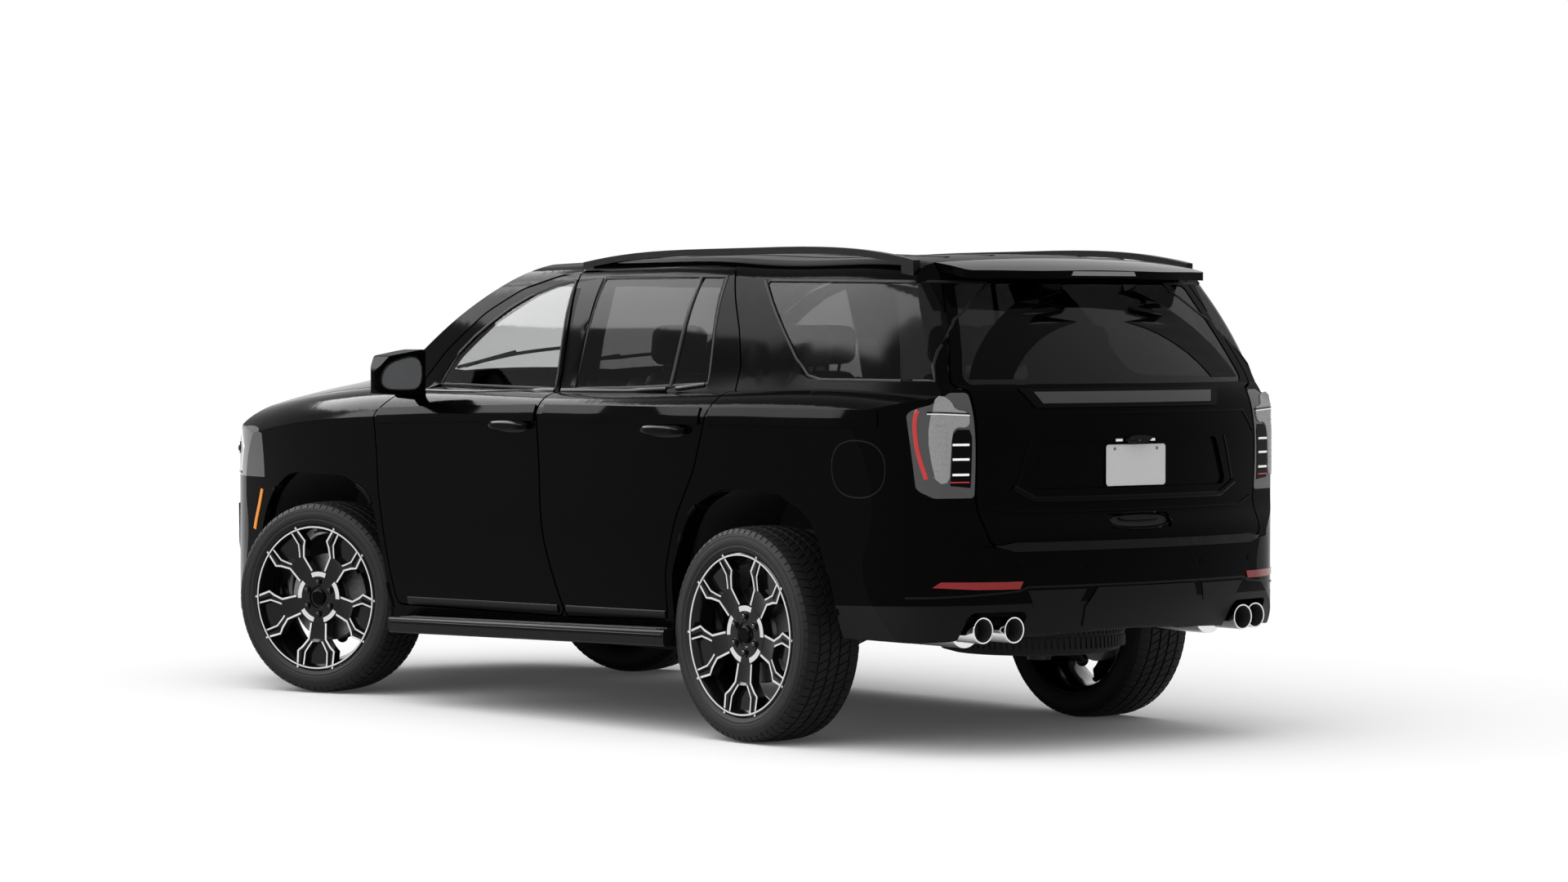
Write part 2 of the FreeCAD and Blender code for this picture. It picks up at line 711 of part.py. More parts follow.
def make_knuckle(with_arm):
    """Upright with its bearing housing, in the wheel's own frame (outboard is +Y)."""
    inboard = kingpin_y - wheel_y
    face = hub_inner - fit_gap
    housing = Part.makeCylinder(bearing_radius, upright_thickness, V(0, face - upright_thickness, 0), V(0, 1, 0))
    post = Part.makeCylinder(upright_thickness / 2, ball_high_z - ball_low_z, V(0, inboard, ball_low_z - tyre_radius))
    body = housing.fuse(post)
    bracket = block(-disc_radius * caliper_inner_share - caliper_wall, 0, face - upright_thickness,
                    disc_inner - fit_gap - caliper_wall, -caliper_wall, caliper_wall)
    keep_off = Part.makeCylinder(hub_radius + ball_radius / 3, tyre_width, V(0, face, 0), V(0, 1, 0))
    body = body.fuse(bracket.cut(keep_off)).fuse(make_caliper())
    if with_arm:
        start = V(0, inboard, -bearing_radius)
        end = V(-steer_arm_reach, inboard - steer_arm_radius, -bearing_radius)
        body = body.fuse(tube_along([start, end], steer_arm_radius))
    return body


def placed_knuckle(axle_x, side, steered):
    return placed_wheel(make_knuckle(steered), axle_x, side, steered)


# Frame under the body
rail_y = 430.0
rail_width = 76.0
rail_wall = 6.0
rail_line_shares = [
    (0.4559, 0.2591), (0.4559, 0.1917), (0.4239, 0.1917), (0.373, 0.2073), (0.2449, 0.2073),
    (0.211, 0.171), (-0.1696, 0.171), (-0.211, 0.228), (-0.3316, 0.228), (-0.373, 0.228),
    (-0.4559, 0.228), (-0.4559, 0.2839), (-0.3693, 0.2839), (-0.3278, 0.2839), (-0.2072, 0.2839),
    (-0.162, 0.2435), (0.2035, 0.2435), (0.2411, 0.2694), (0.3768, 0.2694), (0.4258, 0.2591),
]
cross_member_shares = [
    (0.422, 0.2228), (0.309, 0.2301), (0.2223, 0.2073), (0.1055, 0.2073), (-0.0113, 0.2073),
    (-0.2223, 0.2176), (-0.4525, 0.2539),
]
cross_radius = 38.0
carrier_radius = 20.0
carrier_z = 526.0
mount_radius = 42.0
mount_shares = (0.15, 0.0, -0.15)
tower_half = 130.0
tower_top_z = 690.0
perch_half = 66.0
perch_thickness = 14.0


def make_frame():
    corners = [(x, z, 0) for x, z in side_points(rail_line_shares)]
    rail = side_prism(corners, rail_y - rail_width / 2, rail_y + rail_width / 2)
    inner = rail_y - rail_width / 2
    for axle_x in (front_axle_x, rear_axle_x):
        rail = rail.fuse(block(axle_x - tower_half, axle_x + tower_half, inner, inner + rail_width,
                               mount_low_z, tower_top_z))
        rail = rail.fuse(block(axle_x - perch_half, axle_x + perch_half, inner, inner + rail_width,
                               tower_top_z, spring_top_z + perch_thickness))
        rail = rail.fuse(block(axle_x - perch_half, axle_x + perch_half, inner, spring_y + perch_half,
                               spring_top_z + fit_gap, spring_top_z + perch_thickness))
    for share in mount_shares:
        rail = rail.fuse(Part.makeCylinder(mount_radius, floor_z - fit_gap - mount_low_z,
                                           V(share * length, rail_y + rail_width / 2, mount_low_z)))
    frame = rail.fuse(mirrored(rail))
    for x, z in side_points(cross_member_shares):
        frame = frame.fuse(Part.makeCylinder(cross_radius, 2 * rail_y, V(x, -rail_y, z), V(0, 1, 0)))
    tunnel = Part.makeCylinder(axle_radius + house_gap, 2 * kingpin_y, V(rear_axle_x, -kingpin_y, tyre_radius), V(0, 1, 0))
    frame = frame.cut(tunnel)
    carrier = Part.makeCylinder(carrier_radius, 2 * rail_y, V(spare_x, -rail_y, carrier_z), V(0, 1, 0))
    plate_top = (spare_low_z + spare_high_z + spare_plate) / 2
    hook = Part.makeCylinder(carrier_radius, carrier_z - plate_top - fit_gap, V(spare_x, 0, plate_top + fit_gap))
    return frame.fuse([carrier, hook])


# Cabin floor, firewall and wheelhouses
floor_z = 560.0
floor_thickness = 12.0
floor_half = 862.0
floor_rear_x = -2560.0
tunnel_rear_x = 380.0
tunnel_half = 150.0
tunnel_top_z = 712.0
house_inner_y = 490.0
house_outer_y = 905.0
house_gap = 14.0
house_wall = 6.0
house_hole_y = 500.0
sill_shares = [
    (0.3887, 0.1731, 0), (0.4363, 0.1731, 0), (0.4363, 0.2, 0), (0.4208, 0.2031, 0), (0.4208, 0.29, 0),
    (0.3887, 0.29, 0),
]
sill_front_x = 868.0
sill_rear_x = -925.0
b_pillar_shares = [
    (0.4208, 0.2228, 0), (0.4315, 0.3627, 0), (0.4354, 0.6114, 0.0311), (0.4052, 0.6891, 0.0207),
    (0.3868, 0.8083, 0.0518), (0.3528, 0.9358, 0), (0.3226, 0.9389, 0), (0.3576, 0.8062, 0.0518),
    (0.379, 0.6891, 0.0207), (0.4062, 0.6114, 0.0311), (0.4023, 0.3627, 0), (0.3916, 0.2228, 0),
]
b_pillar_x = (-205.0, -65.0)
pillar_notch = 62.0


def make_sill(inside):
    """Sill beam with the middle pillar, which stays within the given hollow."""
    sill = rear_prism(rear_points(sill_shares), sill_rear_x, sill_front_x)
    pillar = rear_prism(rear_points(b_pillar_shares), b_pillar_x[0], b_pillar_x[1])
    return sill.fuse(pillar.common(inside))


def make_rear_leaves():
    """Hinge leaves of the rear door, standing out from the middle pillar."""
    corners = side_points(rear_door_shares)
    near = grown_side(corners, rear_leaf_inner_y, leaf_outer_y, fit_gap - flange_reach)
    far = grown_side(corners, rear_leaf_inner_y, leaf_outer_y, fit_gap - flange_reach + rear_leaf_width)
    ring = far.cut(near)
    leaves = [ring.common(block(x - 2 * leaf_half, x + 2 * leaf_half, rear_leaf_inner_y, leaf_outer_y, z - leaf_half,
                                z + leaf_half)) for x, z in side_points(rear_leaf_shares)]
    return leaves[0].fuse(leaves[1])


rear_leaf_inner_y = 870.0


def make_floor():
    plate = block(floor_rear_x, bulkhead_x, -floor_half, floor_half, floor_z, floor_z + floor_thickness)
    wall = block(bulkhead_x - floor_thickness, bulkhead_x, -floor_half, floor_half, floor_z,
                 cowl_z - cowl_thickness - floor_thickness)
    hump = block(tunnel_rear_x, bulkhead_x, -tunnel_half, tunnel_half, floor_z, tunnel_top_z)
    inside = block(tunnel_rear_x + floor_thickness, bulkhead_x + overrun, -tunnel_half + floor_thickness,
                   tunnel_half - floor_thickness, 0, tunnel_top_z - floor_thickness)
    pan = plate.fuse([wall, hump]).cut(inside)
    notch_y = floor_half - pillar_notch
    notch = block(b_pillar_x[0] - fit_gap, b_pillar_x[1] + fit_gap, notch_y, floor_half, 0, height)
    pan = pan.cut(notch).cut(mirrored(notch))
    for shares in (front_arch_shares, rear_arch_shares):
        corners = side_points(shares)
        outside = grown_side(corners, house_inner_y, house_outer_y, house_gap + house_wall)
        inside = grown_side(corners, house_inner_y + house_wall, house_outer_y + overrun, house_gap)
        sheet = outside.cut(inside)
        keep = bounded(-length, length, floor_z - rail_width, height)
        for side in (sheet.common(keep), mirrored(sheet.common(keep))):
            pan = pan.fuse(side)
        hollow = grown_side(corners, house_inner_y + house_wall, width, house_gap)
        pan = pan.cut(hollow).cut(mirrored(hollow))
    for axle_x in (front_axle_x, rear_axle_x):
        pan = pan.cut(bounded(axle_x - tower_half - house_gap, axle_x + tower_half + house_gap, 0,
                              tower_top_z + house_gap).common(block(-length, length, -house_hole_y, house_hole_y,
                                                                    0, height)))
        pan = pan.cut(bounded(axle_x - perch_half - house_gap, axle_x + perch_half + house_gap, 0,
                              spring_top_z + perch_thickness + house_gap).common(
                                  block(-length, length, -house_hole_y, house_hole_y, 0, height)))
    return pan


# Engine, driveline, tank, exhaust
engine_length = 620.0
engine_width = 560.0
mount_low_z = 420.0
engine_low_z = 482.3
engine_high_z = 1060.0
engine_x = 1640.0
gearbox_front_radius = 118.0
gearbox_rear_radius = 80.0
gearbox_z = 560.0
shaft_radius = 42.0
shaft_z = 505.0
gearbox_end_x = 420.0
diff_radius = 108.0
diff_z = 445.0
axle_radius = 24.0
pipe_radius = 30.0
tip_radius = 49.0
tip_wall = 3.0
tip_length = 130.0
tip_z = 480.0
tip_outer_y = 712.0
tip_inner_y = 598.0
tip_outer_x = -2515.0
tip_inner_x = -2560.0
muffler_radius = 78.0


def make_engine():
    return block(engine_x - engine_length / 2, engine_x + engine_length / 2, -engine_width / 2, engine_width / 2,
                 engine_low_z, engine_high_z)


def make_driveline():
    start = engine_x - engine_length / 2 - fit_gap
    box = Part.makeCone(gearbox_front_radius, gearbox_rear_radius, start - gearbox_end_x,
                        V(start, 0, gearbox_z), V(-1, 0, 0))
    shaft = Part.makeCylinder(shaft_radius, gearbox_end_x - rear_axle_x, V(gearbox_end_x, 0, shaft_z), V(-1, 0, 0))
    diff = Part.makeSphere(diff_radius, V(rear_axle_x, 0, diff_z))
    inner = kingpin_y - upright_thickness / 2 - fit_gap
    axle = Part.makeCylinder(axle_radius, 2 * inner, V(rear_axle_x, -inner, tyre_radius), V(0, 1, 0))
    return box.fuse([shaft, diff, axle])


def make_tip(x, y):
    outer = Part.makeCylinder(tip_radius, tip_length, V(x, y, tip_z), V(1, 0, 0))
    hole = Part.makeCylinder(tip_radius - tip_wall, tip_length - tip_wall, V(x, y, tip_z), V(1, 0, 0))
    return outer.cut(hole)


def make_exhaust():
    pieces = None
    for side in (1, -1):
        for x, y in ((tip_outer_x, tip_outer_y), (tip_inner_x, tip_inner_y)):
            tip = make_tip(x, side * y)
            lead = tube_along([V(x + tip_length - tip_wall, side * y, tip_z),
                               V(muffler_x, side * y, tip_z)], pipe_radius)
            piece = tip.fuse(lead)
            pieces = piece if pieces is None else pieces.fuse(piece)
        muffler = Part.makeCylinder(muffler_radius, muffler_length, V(muffler_x, side * muffler_y, tip_z), V(1, 0, 0))
        pieces = pieces.fuse(muffler)
        y0, y1 = sorted((side * (rail_y + rail_width / 2 + fit_gap), side * muffler_y))
        pieces = pieces.fuse(block(muffler_x + muffler_length / 2 - pipe_radius, muffler_x + muffler_length / 2 + pipe_radius,
                                   y0, y1, tip_z - tip_wall, tip_z + tip_wall))
    return pieces


muffler_x = -2330.0
muffler_length = 285.0
muffler_y = 640.0
tank_x = (-900.0, -130.0)
tank_y = (-391.7, -70.0)
tank_z = (330.0, 540.0)
spare_x = -1990.0
spare_radius = 372.0
spare_low_z = 300.0
spare_high_z = 500.0
spare_hole = 190.0
spare_plate = 16.0


def make_tank():
    return block(tank_x[0], tank_x[1], tank_y[0], tank_y[1], tank_z[0], tank_z[1])


def make_spare():
    tyre = Part.makeCylinder(spare_radius, spare_high_z - spare_low_z, V(spare_x, 0, spare_low_z))
    hole = Part.makeCylinder(spare_hole, spare_high_z - spare_low_z, V(spare_x, 0, spare_low_z))
    middle = (spare_low_z + spare_high_z) / 2
    plate = Part.makeCylinder(spare_hole, spare_plate, V(spare_x, 0, middle - spare_plate / 2))
    return tyre.cut(hole).fuse(plate)


arm_radius = 15.0
arm_low_spread = 150.0
arm_high_spread = 105.0
spring_radius = 48.0
fork_gap = 8.0
spring_top_z = 800.0
spring_y = 560.0


def make_arms(axle_x, side):
    """Lower and upper wishbones with the spring leg, between the frame and one upright's ball joints."""
    low = V(axle_x, side * kingpin_y, ball_low_z - ball_radius - fit_gap)
    high = V(axle_x, side * kingpin_y, ball_high_z + ball_radius + fit_gap)
    arms = Part.makeSphere(ball_radius, low).fuse(Part.makeSphere(ball_radius, high))
    for toward in (-1, 1):
        foot = V(axle_x + toward * arm_low_spread, side * rail_y, mount_low_z)
        arms = arms.fuse(tube_along([foot, low], arm_radius))
        head = V(axle_x + toward * arm_high_spread, side * rail_y, ball_high_z + ball_radius)
        arms = arms.fuse(tube_along([head, high], arm_radius))
    leg_foot = V(axle_x, side * spring_y, low.z + arm_radius)
    leg = Part.makeCylinder(spring_radius, spring_top_z - leg_foot.z, leg_foot)
    link = tube_along([V(axle_x - arm_low_spread / 2, side * spring_y, leg_foot.z + arm_radius * 2),
                       V(axle_x + arm_low_spread / 2, side * spring_y, leg_foot.z + arm_radius * 2)], arm_radius)
    clear = rail_y + rail_width / 2 + fit_gap
    leg = leg.fuse(link)
    if axle_x == rear_axle_x:
        slot = axle_radius + fork_gap
        leg = leg.cut(block(axle_x - slot, axle_x + slot, -width, width, tyre_radius - slot, tyre_radius + slot))
    return arms.fuse(leg).cut(block(-length, length, -clear, clear, 0, height))


def make_front_suspension():
    left = make_arms(front_axle_x, 1)
    return both(left)


def make_rear_suspension():
    left = make_arms(rear_axle_x, 1).fuse(placed_knuckle(rear_axle_x, 1, False))
    return both(left)


# Bumpers, grille and lamps
valance_slot_shares = [
    (0.2604, 0.2839, 0.0155), (0.3771, 0.2839, 0.0155), (0.3771, 0.1813, 0), (0.2604, 0.1813, 0),
]


def make_running_board():
    section = rounded_wire([(y, z, board_radius) for y, z in (
        (board_inner_y, board_low_z), (board_inner_y, board_high_z), (board_outer_y, board_high_z),
        (board_outer_y, board_low_z))], at_rear(board_rear_x))
    board = Part.Face(section).extrude(V(board_front_x - board_rear_x, 0, 0))
    board.rotate(V(board_rear_x, 0, board_low_z), V(0, 1, 0), board_rake)
    return board


board_inner_y = 925.0
board_outer_y = 1040.0
board_low_z = 350.0
board_high_z = 417.0
board_radius = 14.0
board_rear_x = -996.0
board_front_x = 925.0
board_rake = 1.4
rail_track_shares = [
    (-0.0113, 0.9699), (-0.0622, 0.9845), (-0.2072, 0.9933), (-0.3391, 0.9865), (-0.4032, 0.9627),
]
roof_rail_y = 716.0
rail_half_y = 17.0
rail_height = 26.0
rail_foot = 70.0


def make_roof_rail(outer):
    top = [V(x, 0, z) for x, z in side_points(rail_track_shares)]
    low = [V(p.x, 0, p.z - rail_height) for p in top]
    front, rear = V(top[0].x, 0, low[0].z - rail_height), V(top[-1].x, 0, low[-1].z - rail_height)
    rim = Part.Wire([spline(top), line(top[-1], low[-1]), spline(low[::-1]), line(low[0], top[0])])
    bar = Part.Face(rim).extrude(V(0, 2 * rail_half_y, 0))
    bar.translate(V(0, roof_rail_y - rail_half_y, 0))
    for end, toward in ((top[0], -1), (top[-1], 1)):
        x0, x1 = sorted((end.x, end.x + toward * rail_foot))
        foot = block(x0, x1, roof_rail_y - rail_half_y, roof_rail_y + rail_half_y, end.z - 3 * rail_height,
                     end.z - rail_height / 4)
        bar = bar.fuse(foot)
    return bar.cut(outer)


# Cabin fittings
dash_shares = [
    (0.2008, 0.4021, 0.0104), (0.2008, 0.6539, 0.0155), (0.1809, 0.6746, 0.0311),
    (0.1432, 0.6425, 0.0259), (0.1398, 0.5389, 0.0311), (0.162, 0.456, 0.0415),
    (0.1696, 0.4021, 0.0104),
]
dash_half = 790.0
column_y = 400.0
wheel_centre_x = 560.0
wheel_centre_z = 1120.0
wheel_radius = 185.0
wheel_rim_radius = 15.0
wheel_tilt = 25.0
column_radius = 32.0
hub_boss_radius = 62.0
hub_boss_depth = 44.0


def column_axis():
    tilt = math.radians(wheel_tilt)
    return V(-math.cos(tilt), 0, math.sin(tilt))


def make_dashboard():
    dash = side_prism(side_points(dash_shares), -dash_half, dash_half)
    axis = column_axis()
    centre = V(wheel_centre_x, column_y, wheel_centre_z)
    start = centre - axis * (hub_boss_depth + fit_gap)
    column = Part.makeCylinder(column_radius, column_length, start, axis * -1)
    return dash.fuse(column)


column_length = 240.0


def make_steering_wheel():
    axis = column_axis()
    centre = V(wheel_centre_x, column_y, wheel_centre_z)
    ring = Part.makeTorus(wheel_radius - wheel_rim_radius, wheel_rim_radius, centre, axis)
    boss = Part.makeCylinder(hub_boss_radius, hub_boss_depth, centre - axis * hub_boss_depth, axis)
    wheel = ring.fuse(boss)
    for turn in (0, 180, 90):
        arm = Part.makeCylinder(wheel_rim_radius * 2 / 3, wheel_radius - wheel_rim_radius, V(0, 0, 0), V(0, 1, 0))
        arm.rotate(V(0, 0, 0), V(-1, 0, 0), turn)
        arm.rotate(V(0, 0, 0), V(0, 1, 0), wheel_tilt)
        arm.translate(centre - axis * wheel_rim_radius / 2)
        wheel = wheel.fuse(arm)
    return wheel


seat_side_shares = [
    (0, 0, 0.0104), (0, 0.1554, 0.0311), (-0.081, 0.1295, 0.0207), (-0.1319, 0.4404, 0.0259),
    (-0.1564, 0.4301, 0.0259), (-0.113, 0.0415, 0.0311), (-0.1055, 0, 0.0104),
]
head_half = 130.0
head_rest_shares = [
    (-0.1319, 0.456, 0.0207), (-0.1356, 0.5389, 0.0259), (-0.1545, 0.5389, 0.0259),
    (-0.1554, 0.456, 0.0207),
]
seat_places = ((480.0, 405.0, 245.0), (-330.0, 400.0, 250.0), (-1290.0, 205.0, 178.0))
post_radius = 9.0
post_x = -765.0
post_low_z = 700.0
post_height = 260.0


def make_seat(x, y, half):
    shift = V(x, 0, floor_z + floor_thickness + fit_gap)
    body = side_prism(side_points(seat_side_shares), y - half, y + half)
    head = side_prism(side_points(head_rest_shares), y - head_half, y + head_half)
    seat = body.fuse(head)
    for side in (-1, 1):
        foot = V(post_x, y + side * head_half / 2, post_low_z)
        seat = seat.fuse(Part.makeCylinder(post_radius, post_height, foot))
    seat.translate(shift)
    return seat


# Door mirror: housing on a short stalk, with the glass facing back
mirror_shares = [
    (0.133, 0.4801, 0.0058), (0.1341, 0.6025, 0.0117), (0.1436, 0.6025, 0.0292),
    (0.156, 0.5714, 0.0292), (0.1601, 0.4859, 0.0243),
]
mirror_face_shares = [
    (0.4801, 0.7845, 0.0114), (0.5714, 0.7689, 0.0207), (0.602, 0.7389, 0.0135),
    (0.602, 0.6891, 0.0114), (0.5403, 0.6829, 0.0311), (0.481, 0.687, 0.0114),
]
mirror_low_z = 1318.0
mirror_high_z = 1514.0
mirror_reach = 120.0
mirror_round = 26.0
stalk_foot_x = 830.0
stalk_foot_y = 930.0
stalk_head_x = 790.0
stalk_head_y = 1075.0


def make_mirror():
    cap = plan_prism(plan_points(mirror_shares), mirror_low_z, mirror_high_z)
    cap = cap.common(rear_prism(rear_points(mirror_face_shares), stalk_head_x - mirror_reach, stalk_head_x + mirror_reach))
    foot = V(stalk_foot_x, stalk_foot_y, mirror_low_z)
    head = V(stalk_head_x, stalk_head_y, mirror_low_z + mirror_round / 2)
    return cap.fuse(tube_along([foot, head], mirror_round))


def main():
    os.makedirs("parts", exist_ok=True)
    outer, shell, room = make_surfaces()
    skin = body_solid(flange_depth, flange_depth, flange_depth, 0)
    glass = body_solid(glass_sink, glass_sink, glass_sink, 0)
    glass = glass.cut(body_solid(glass_sink + glass_thickness, glass_sink + glass_thickness,
                                 glass_sink + glass_thickness, 0))
    shell = arch_cut(shell)
    half = width / 4
    sweep = V(0, width, 0)
    glazing = {}
    for name, shares, inner_y in (("front_door", front_glass_shares, half), ("rear_door", rear_glass_shares, half),
                                  ("quarter", quarter_glass_shares, quarter_inner_y)):
        corners = side_points(shares)
        opening = side_prism(corners, inner_y, width)
        glazing[name] = glass.common(grown_side(corners, inner_y, width, -fit_gap))
        shell = shell.cut(opening).cut(mirrored(opening))
    for name, shares in (("front_door", front_door_shares), ("rear_door", rear_door_shares)):
        corners = side_points(shares)
        panel = shell.common(side_prism(corners, half, width))
        window = side_prism(side_points(front_glass_shares if name == "front_door" else rear_glass_shares), half, width)
        panel = flanged(panel, skin, corners, at_side(half), sweep, flange_reach).cut(window)
        save(name + "_left", panel)
        save(name + "_right", mirrored(panel))
        save(name + "_glass_left", glazing[name])
        save(name + "_glass_right", mirrored(glazing[name]))
        hole = grown_side(corners, half, width, shut_gap)
        shell = shell.cut(hole).cut(mirrored(hole))
        if name == "front_door":
            near = grown_side(corners, leaf_inner_y, leaf_outer_y, fit_gap - flange_reach)
            far = grown_side(corners, leaf_inner_y, leaf_outer_y, shut_gap + leaf_bite)
            ring = far.cut(near)
            leaves = [ring.common(block(x - 2 * leaf_half, x + 2 * leaf_half, leaf_inner_y, leaf_outer_y,
                                        z - leaf_half, z + leaf_half)) for x, z in side_points(front_leaf_shares)]
    # Liftgate, with its own window
    gate_corners = rear_points(gate_shares)
    gate = shell.common(rear_prism(gate_corners, -reach, gate_seam_x))
    gate_window = rear_prism(rear_points(gate_glass_shares), -reach, gate_seam_x)
    for shares in (plate_recess_shares, handle_recess_shares):
        gate = gate.cut(rear_prism(rear_points(shares), -reach, recess_x).cut(skin))
    gate = flanged(gate, skin, gate_corners, at_rear(-reach), V(reach + gate_seam_x, 0, 0), gate_reach)
    spoiler = cab_solid(0).cut(cab_solid(spoiler_thickness))
    spoiler = spoiler.common(plan_prism(plan_points(spoiler_shares), roof_low_z, body_top))
    save("liftgate", gate.cut(gate_window).fuse(spoiler))
    save("liftgate_glass", glass.common(grown_prism(rear_points(gate_glass_shares), at_rear(-reach),
                                                    V(reach + gate_seam_x, 0, 0), -fit_gap)))
    shell = shell.cut(grown_prism(gate_corners, at_rear(-reach), V(reach + gate_seam_x + shut_gap, 0, 0), shut_gap))
    # Hood
    hood_corners = plan_points(hood_shares)
    hood = shell.common(plan_prism(hood_corners, hood_seam_z, body_top))
    save("hood", hood)
    shell = shell.cut(grown_prism(hood_corners, at_plan(hood_seam_z - shut_gap), V(0, 0, body_top), shut_gap))
    # Windscreen and roof
    screen_corners = plan_points(screen_shares)
    save("windshield", glass.common(grown_prism(screen_corners, at_plan(cowl_z), V(0, 0, body_top), -fit_gap)))
    shell = shell.cut(plan_prism(screen_corners, cowl_z, body_top))
    roof_tool = plan_prism(plan_points(roof_shares), roof_low_z, body_top)
    roof = shell.common(roof_tool)
    for side in (1, -1):
        y0, y1 = sorted((side * gate_leaf_y[0], side * gate_leaf_y[1]))
        leaf = skin.common(block(gate_seam_x + fit_gap, gate_seam_x + shut_gap + leaf_bite, y0, y1,
                                 gate_leaf_low_z, body_top))
        roof = roof.fuse(leaf)
    save("roof_panel", roof)
    shell = shell.cut(roof_tool)
    save("quarter_glass", both(glazing["quarter"]))
    # Lamps and bumpers
    lamp_tool = rear_prism(rear_points(tail_lamp_shares), -reach, rear_axle_x - tyre_radius)
    lamp = shell.common(lamp_tool)
    save("tail_lamps", both(lamp))
    shell = shell.cut(lamp_tool).cut(mirrored(lamp_tool))
    head_tool = rear_prism(rear_points(head_lamp_shares), head_lamp_rear_x, reach)
    save("headlamps", both(shell.common(head_tool)))
    shell = shell.cut(head_tool).cut(mirrored(head_tool))
    grille_corners = rear_points(grille_shares)
    grille_tool = rear_prism(grille_corners, front_axle_x + tyre_radius, reach)
    panel = shell.common(grille_tool)
    inner = grown_prism(grille_corners, at_rear(front_axle_x + tyre_radius), V(reach, 0, 0), -grille_frame)
    frame = panel.cut(inner)
    top = max(z for y, z, r in grille_corners)
    low = min(z for y, z, r in grille_corners)
    for i in range(1, grille_bars + 1):
        z = low + (top - low) * i / (grille_bars + 1)
        bar = panel.common(bounded(0, reach, z - grille_bar_height / 2, z + grille_bar_height / 2))
        frame = frame.fuse(bar)
    save("grille", frame)
    shell = shell.cut(grille_tool)
    bumper_tool = side_prism(side_points(front_bumper_shares), -width, width)
    save("front_bumper", shell.common(bumper_tool))
    shell = shell.cut(bumper_tool)
    tail_tool = side_prism(side_points(rear_bumper_shares), -width, width)
    rear = shell.common(tail_tool)
    valance_tool = side_prism(side_points(valance_shares), -width, width)
    slot = rear_prism(rear_points(valance_slot_shares), -reach, rear_axle_x - tyre_radius)
    save("rear_valance", rear.common(valance_tool).cut(slot).cut(mirrored(slot)))
    save("rear_bumper", rear.cut(valance_tool))
    shell = shell.cut(tail_tool)
    fender_tool = side_prism(side_points(fender_shares), -width, width)
    ahead = shell.common(fender_tool)
    fenders = ahead
    for leaf in leaves:
        fenders = fenders.fuse(leaf).fuse(mirrored(leaf))
    for side in (1, -1):
        y0, y1 = sorted((side * hood_leaf_y[0], side * hood_leaf_y[1]))
        ring = grown_prism(hood_corners, at_plan(cowl_z - cowl_thickness), V(0, 0, body_top), shut_gap)
        ring = ring.cut(grown_prism(hood_corners, at_plan(cowl_z - cowl_thickness), V(0, 0, body_top), fit_gap))
        leaf = ring.common(skin).common(block(bulkhead_x, front_axle_x, y0, y1, cowl_z - cowl_thickness, body_top))
        fenders = fenders.fuse(leaf)
    save("front_fenders", halved(fenders))
    sides = shell.cut(fender_tool)
    sill = make_sill(body_solid(door_depth + sweep_clearance, roof_depth + sweep_clearance, gate_depth, cavity_drop))
    sides = sides.fuse(sill).fuse(mirrored(sill))
    sides = sides.fuse(make_rear_leaves()).fuse(mirrored(make_rear_leaves()))
    save("body_sides", halved(sides))
    # Wheels
    tyre = make_tyre()
    rim = make_rim()
    for axle, axle_x in (("front", front_axle_x), ("rear", rear_axle_x)):
        for name, side in (("left", 1), ("right", -1)):
            steered = axle == "front"
            save("tyre_" + axle + "_" + name, placed_wheel(tyre, axle_x, side, steered))
            save("wheel_" + axle + "_" + name, placed_wheel(rim, axle_x, side, steered))
    save("knuckle_left", placed_knuckle(front_axle_x, 1, True))
    save("knuckle_right", placed_knuckle(front_axle_x, -1, True))
    save("suspension", Part.makeCompound([make_front_suspension(), make_rear_suspension()]))
    save("chassis_frame", make_frame())
    save("floor_pan", make_floor().common(room))
    save("engine_block", make_engine())
    save("driveline", make_driveline())
    save("exhaust", make_exhaust())
    save("fuel_tank", make_tank())
    save("spare_wheel", make_spare())
    save("running_boards", both(make_running_board().cut(outer)))
    save("roof_rails", both(make_roof_rail(outer)))
    save("dashboard", make_dashboard())
    save("steering_wheel", make_steering_wheel())
    save("seats", Part.makeCompound([both(make_seat(*place)) for place in seat_places]))
    mirror = make_mirror().cut(outer)
    save("mirror_left", mirror)
    save("mirror_right", mirrored(mirror))


main()
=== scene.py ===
import math

import bmesh
import bpy
from mathutils import Euler, Matrix, Vector
from mathutils.bvhtree import BVHTree
from mathutils.geometry import delaunay_2d_cdt


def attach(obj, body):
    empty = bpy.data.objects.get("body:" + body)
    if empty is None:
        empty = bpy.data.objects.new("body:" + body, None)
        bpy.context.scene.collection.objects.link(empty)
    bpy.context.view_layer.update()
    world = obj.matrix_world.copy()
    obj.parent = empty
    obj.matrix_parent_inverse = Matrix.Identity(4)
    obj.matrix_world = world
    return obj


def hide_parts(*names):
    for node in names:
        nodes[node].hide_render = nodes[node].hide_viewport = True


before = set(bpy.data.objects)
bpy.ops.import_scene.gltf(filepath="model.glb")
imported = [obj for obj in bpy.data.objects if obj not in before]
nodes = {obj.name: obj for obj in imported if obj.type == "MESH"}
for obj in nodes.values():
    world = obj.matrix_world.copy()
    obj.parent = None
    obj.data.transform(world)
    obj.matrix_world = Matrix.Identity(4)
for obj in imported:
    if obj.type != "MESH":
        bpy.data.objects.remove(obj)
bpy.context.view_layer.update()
FULL_TURN = 2 * math.pi

# Materials
RAMP_LOW, RAMP_HIGH = 0.3, 0.7
CLOUD_DETAIL, GRAIN_DETAIL, HAZE_DETAIL = 4, 3, 2
HAZE_SCALE_SHARE = 0.4
GRAIN_DEPTH = 0.001
GLASS_HAZE_SCALE, GLASS_HAZE_SHARE = 8.0, 0.2


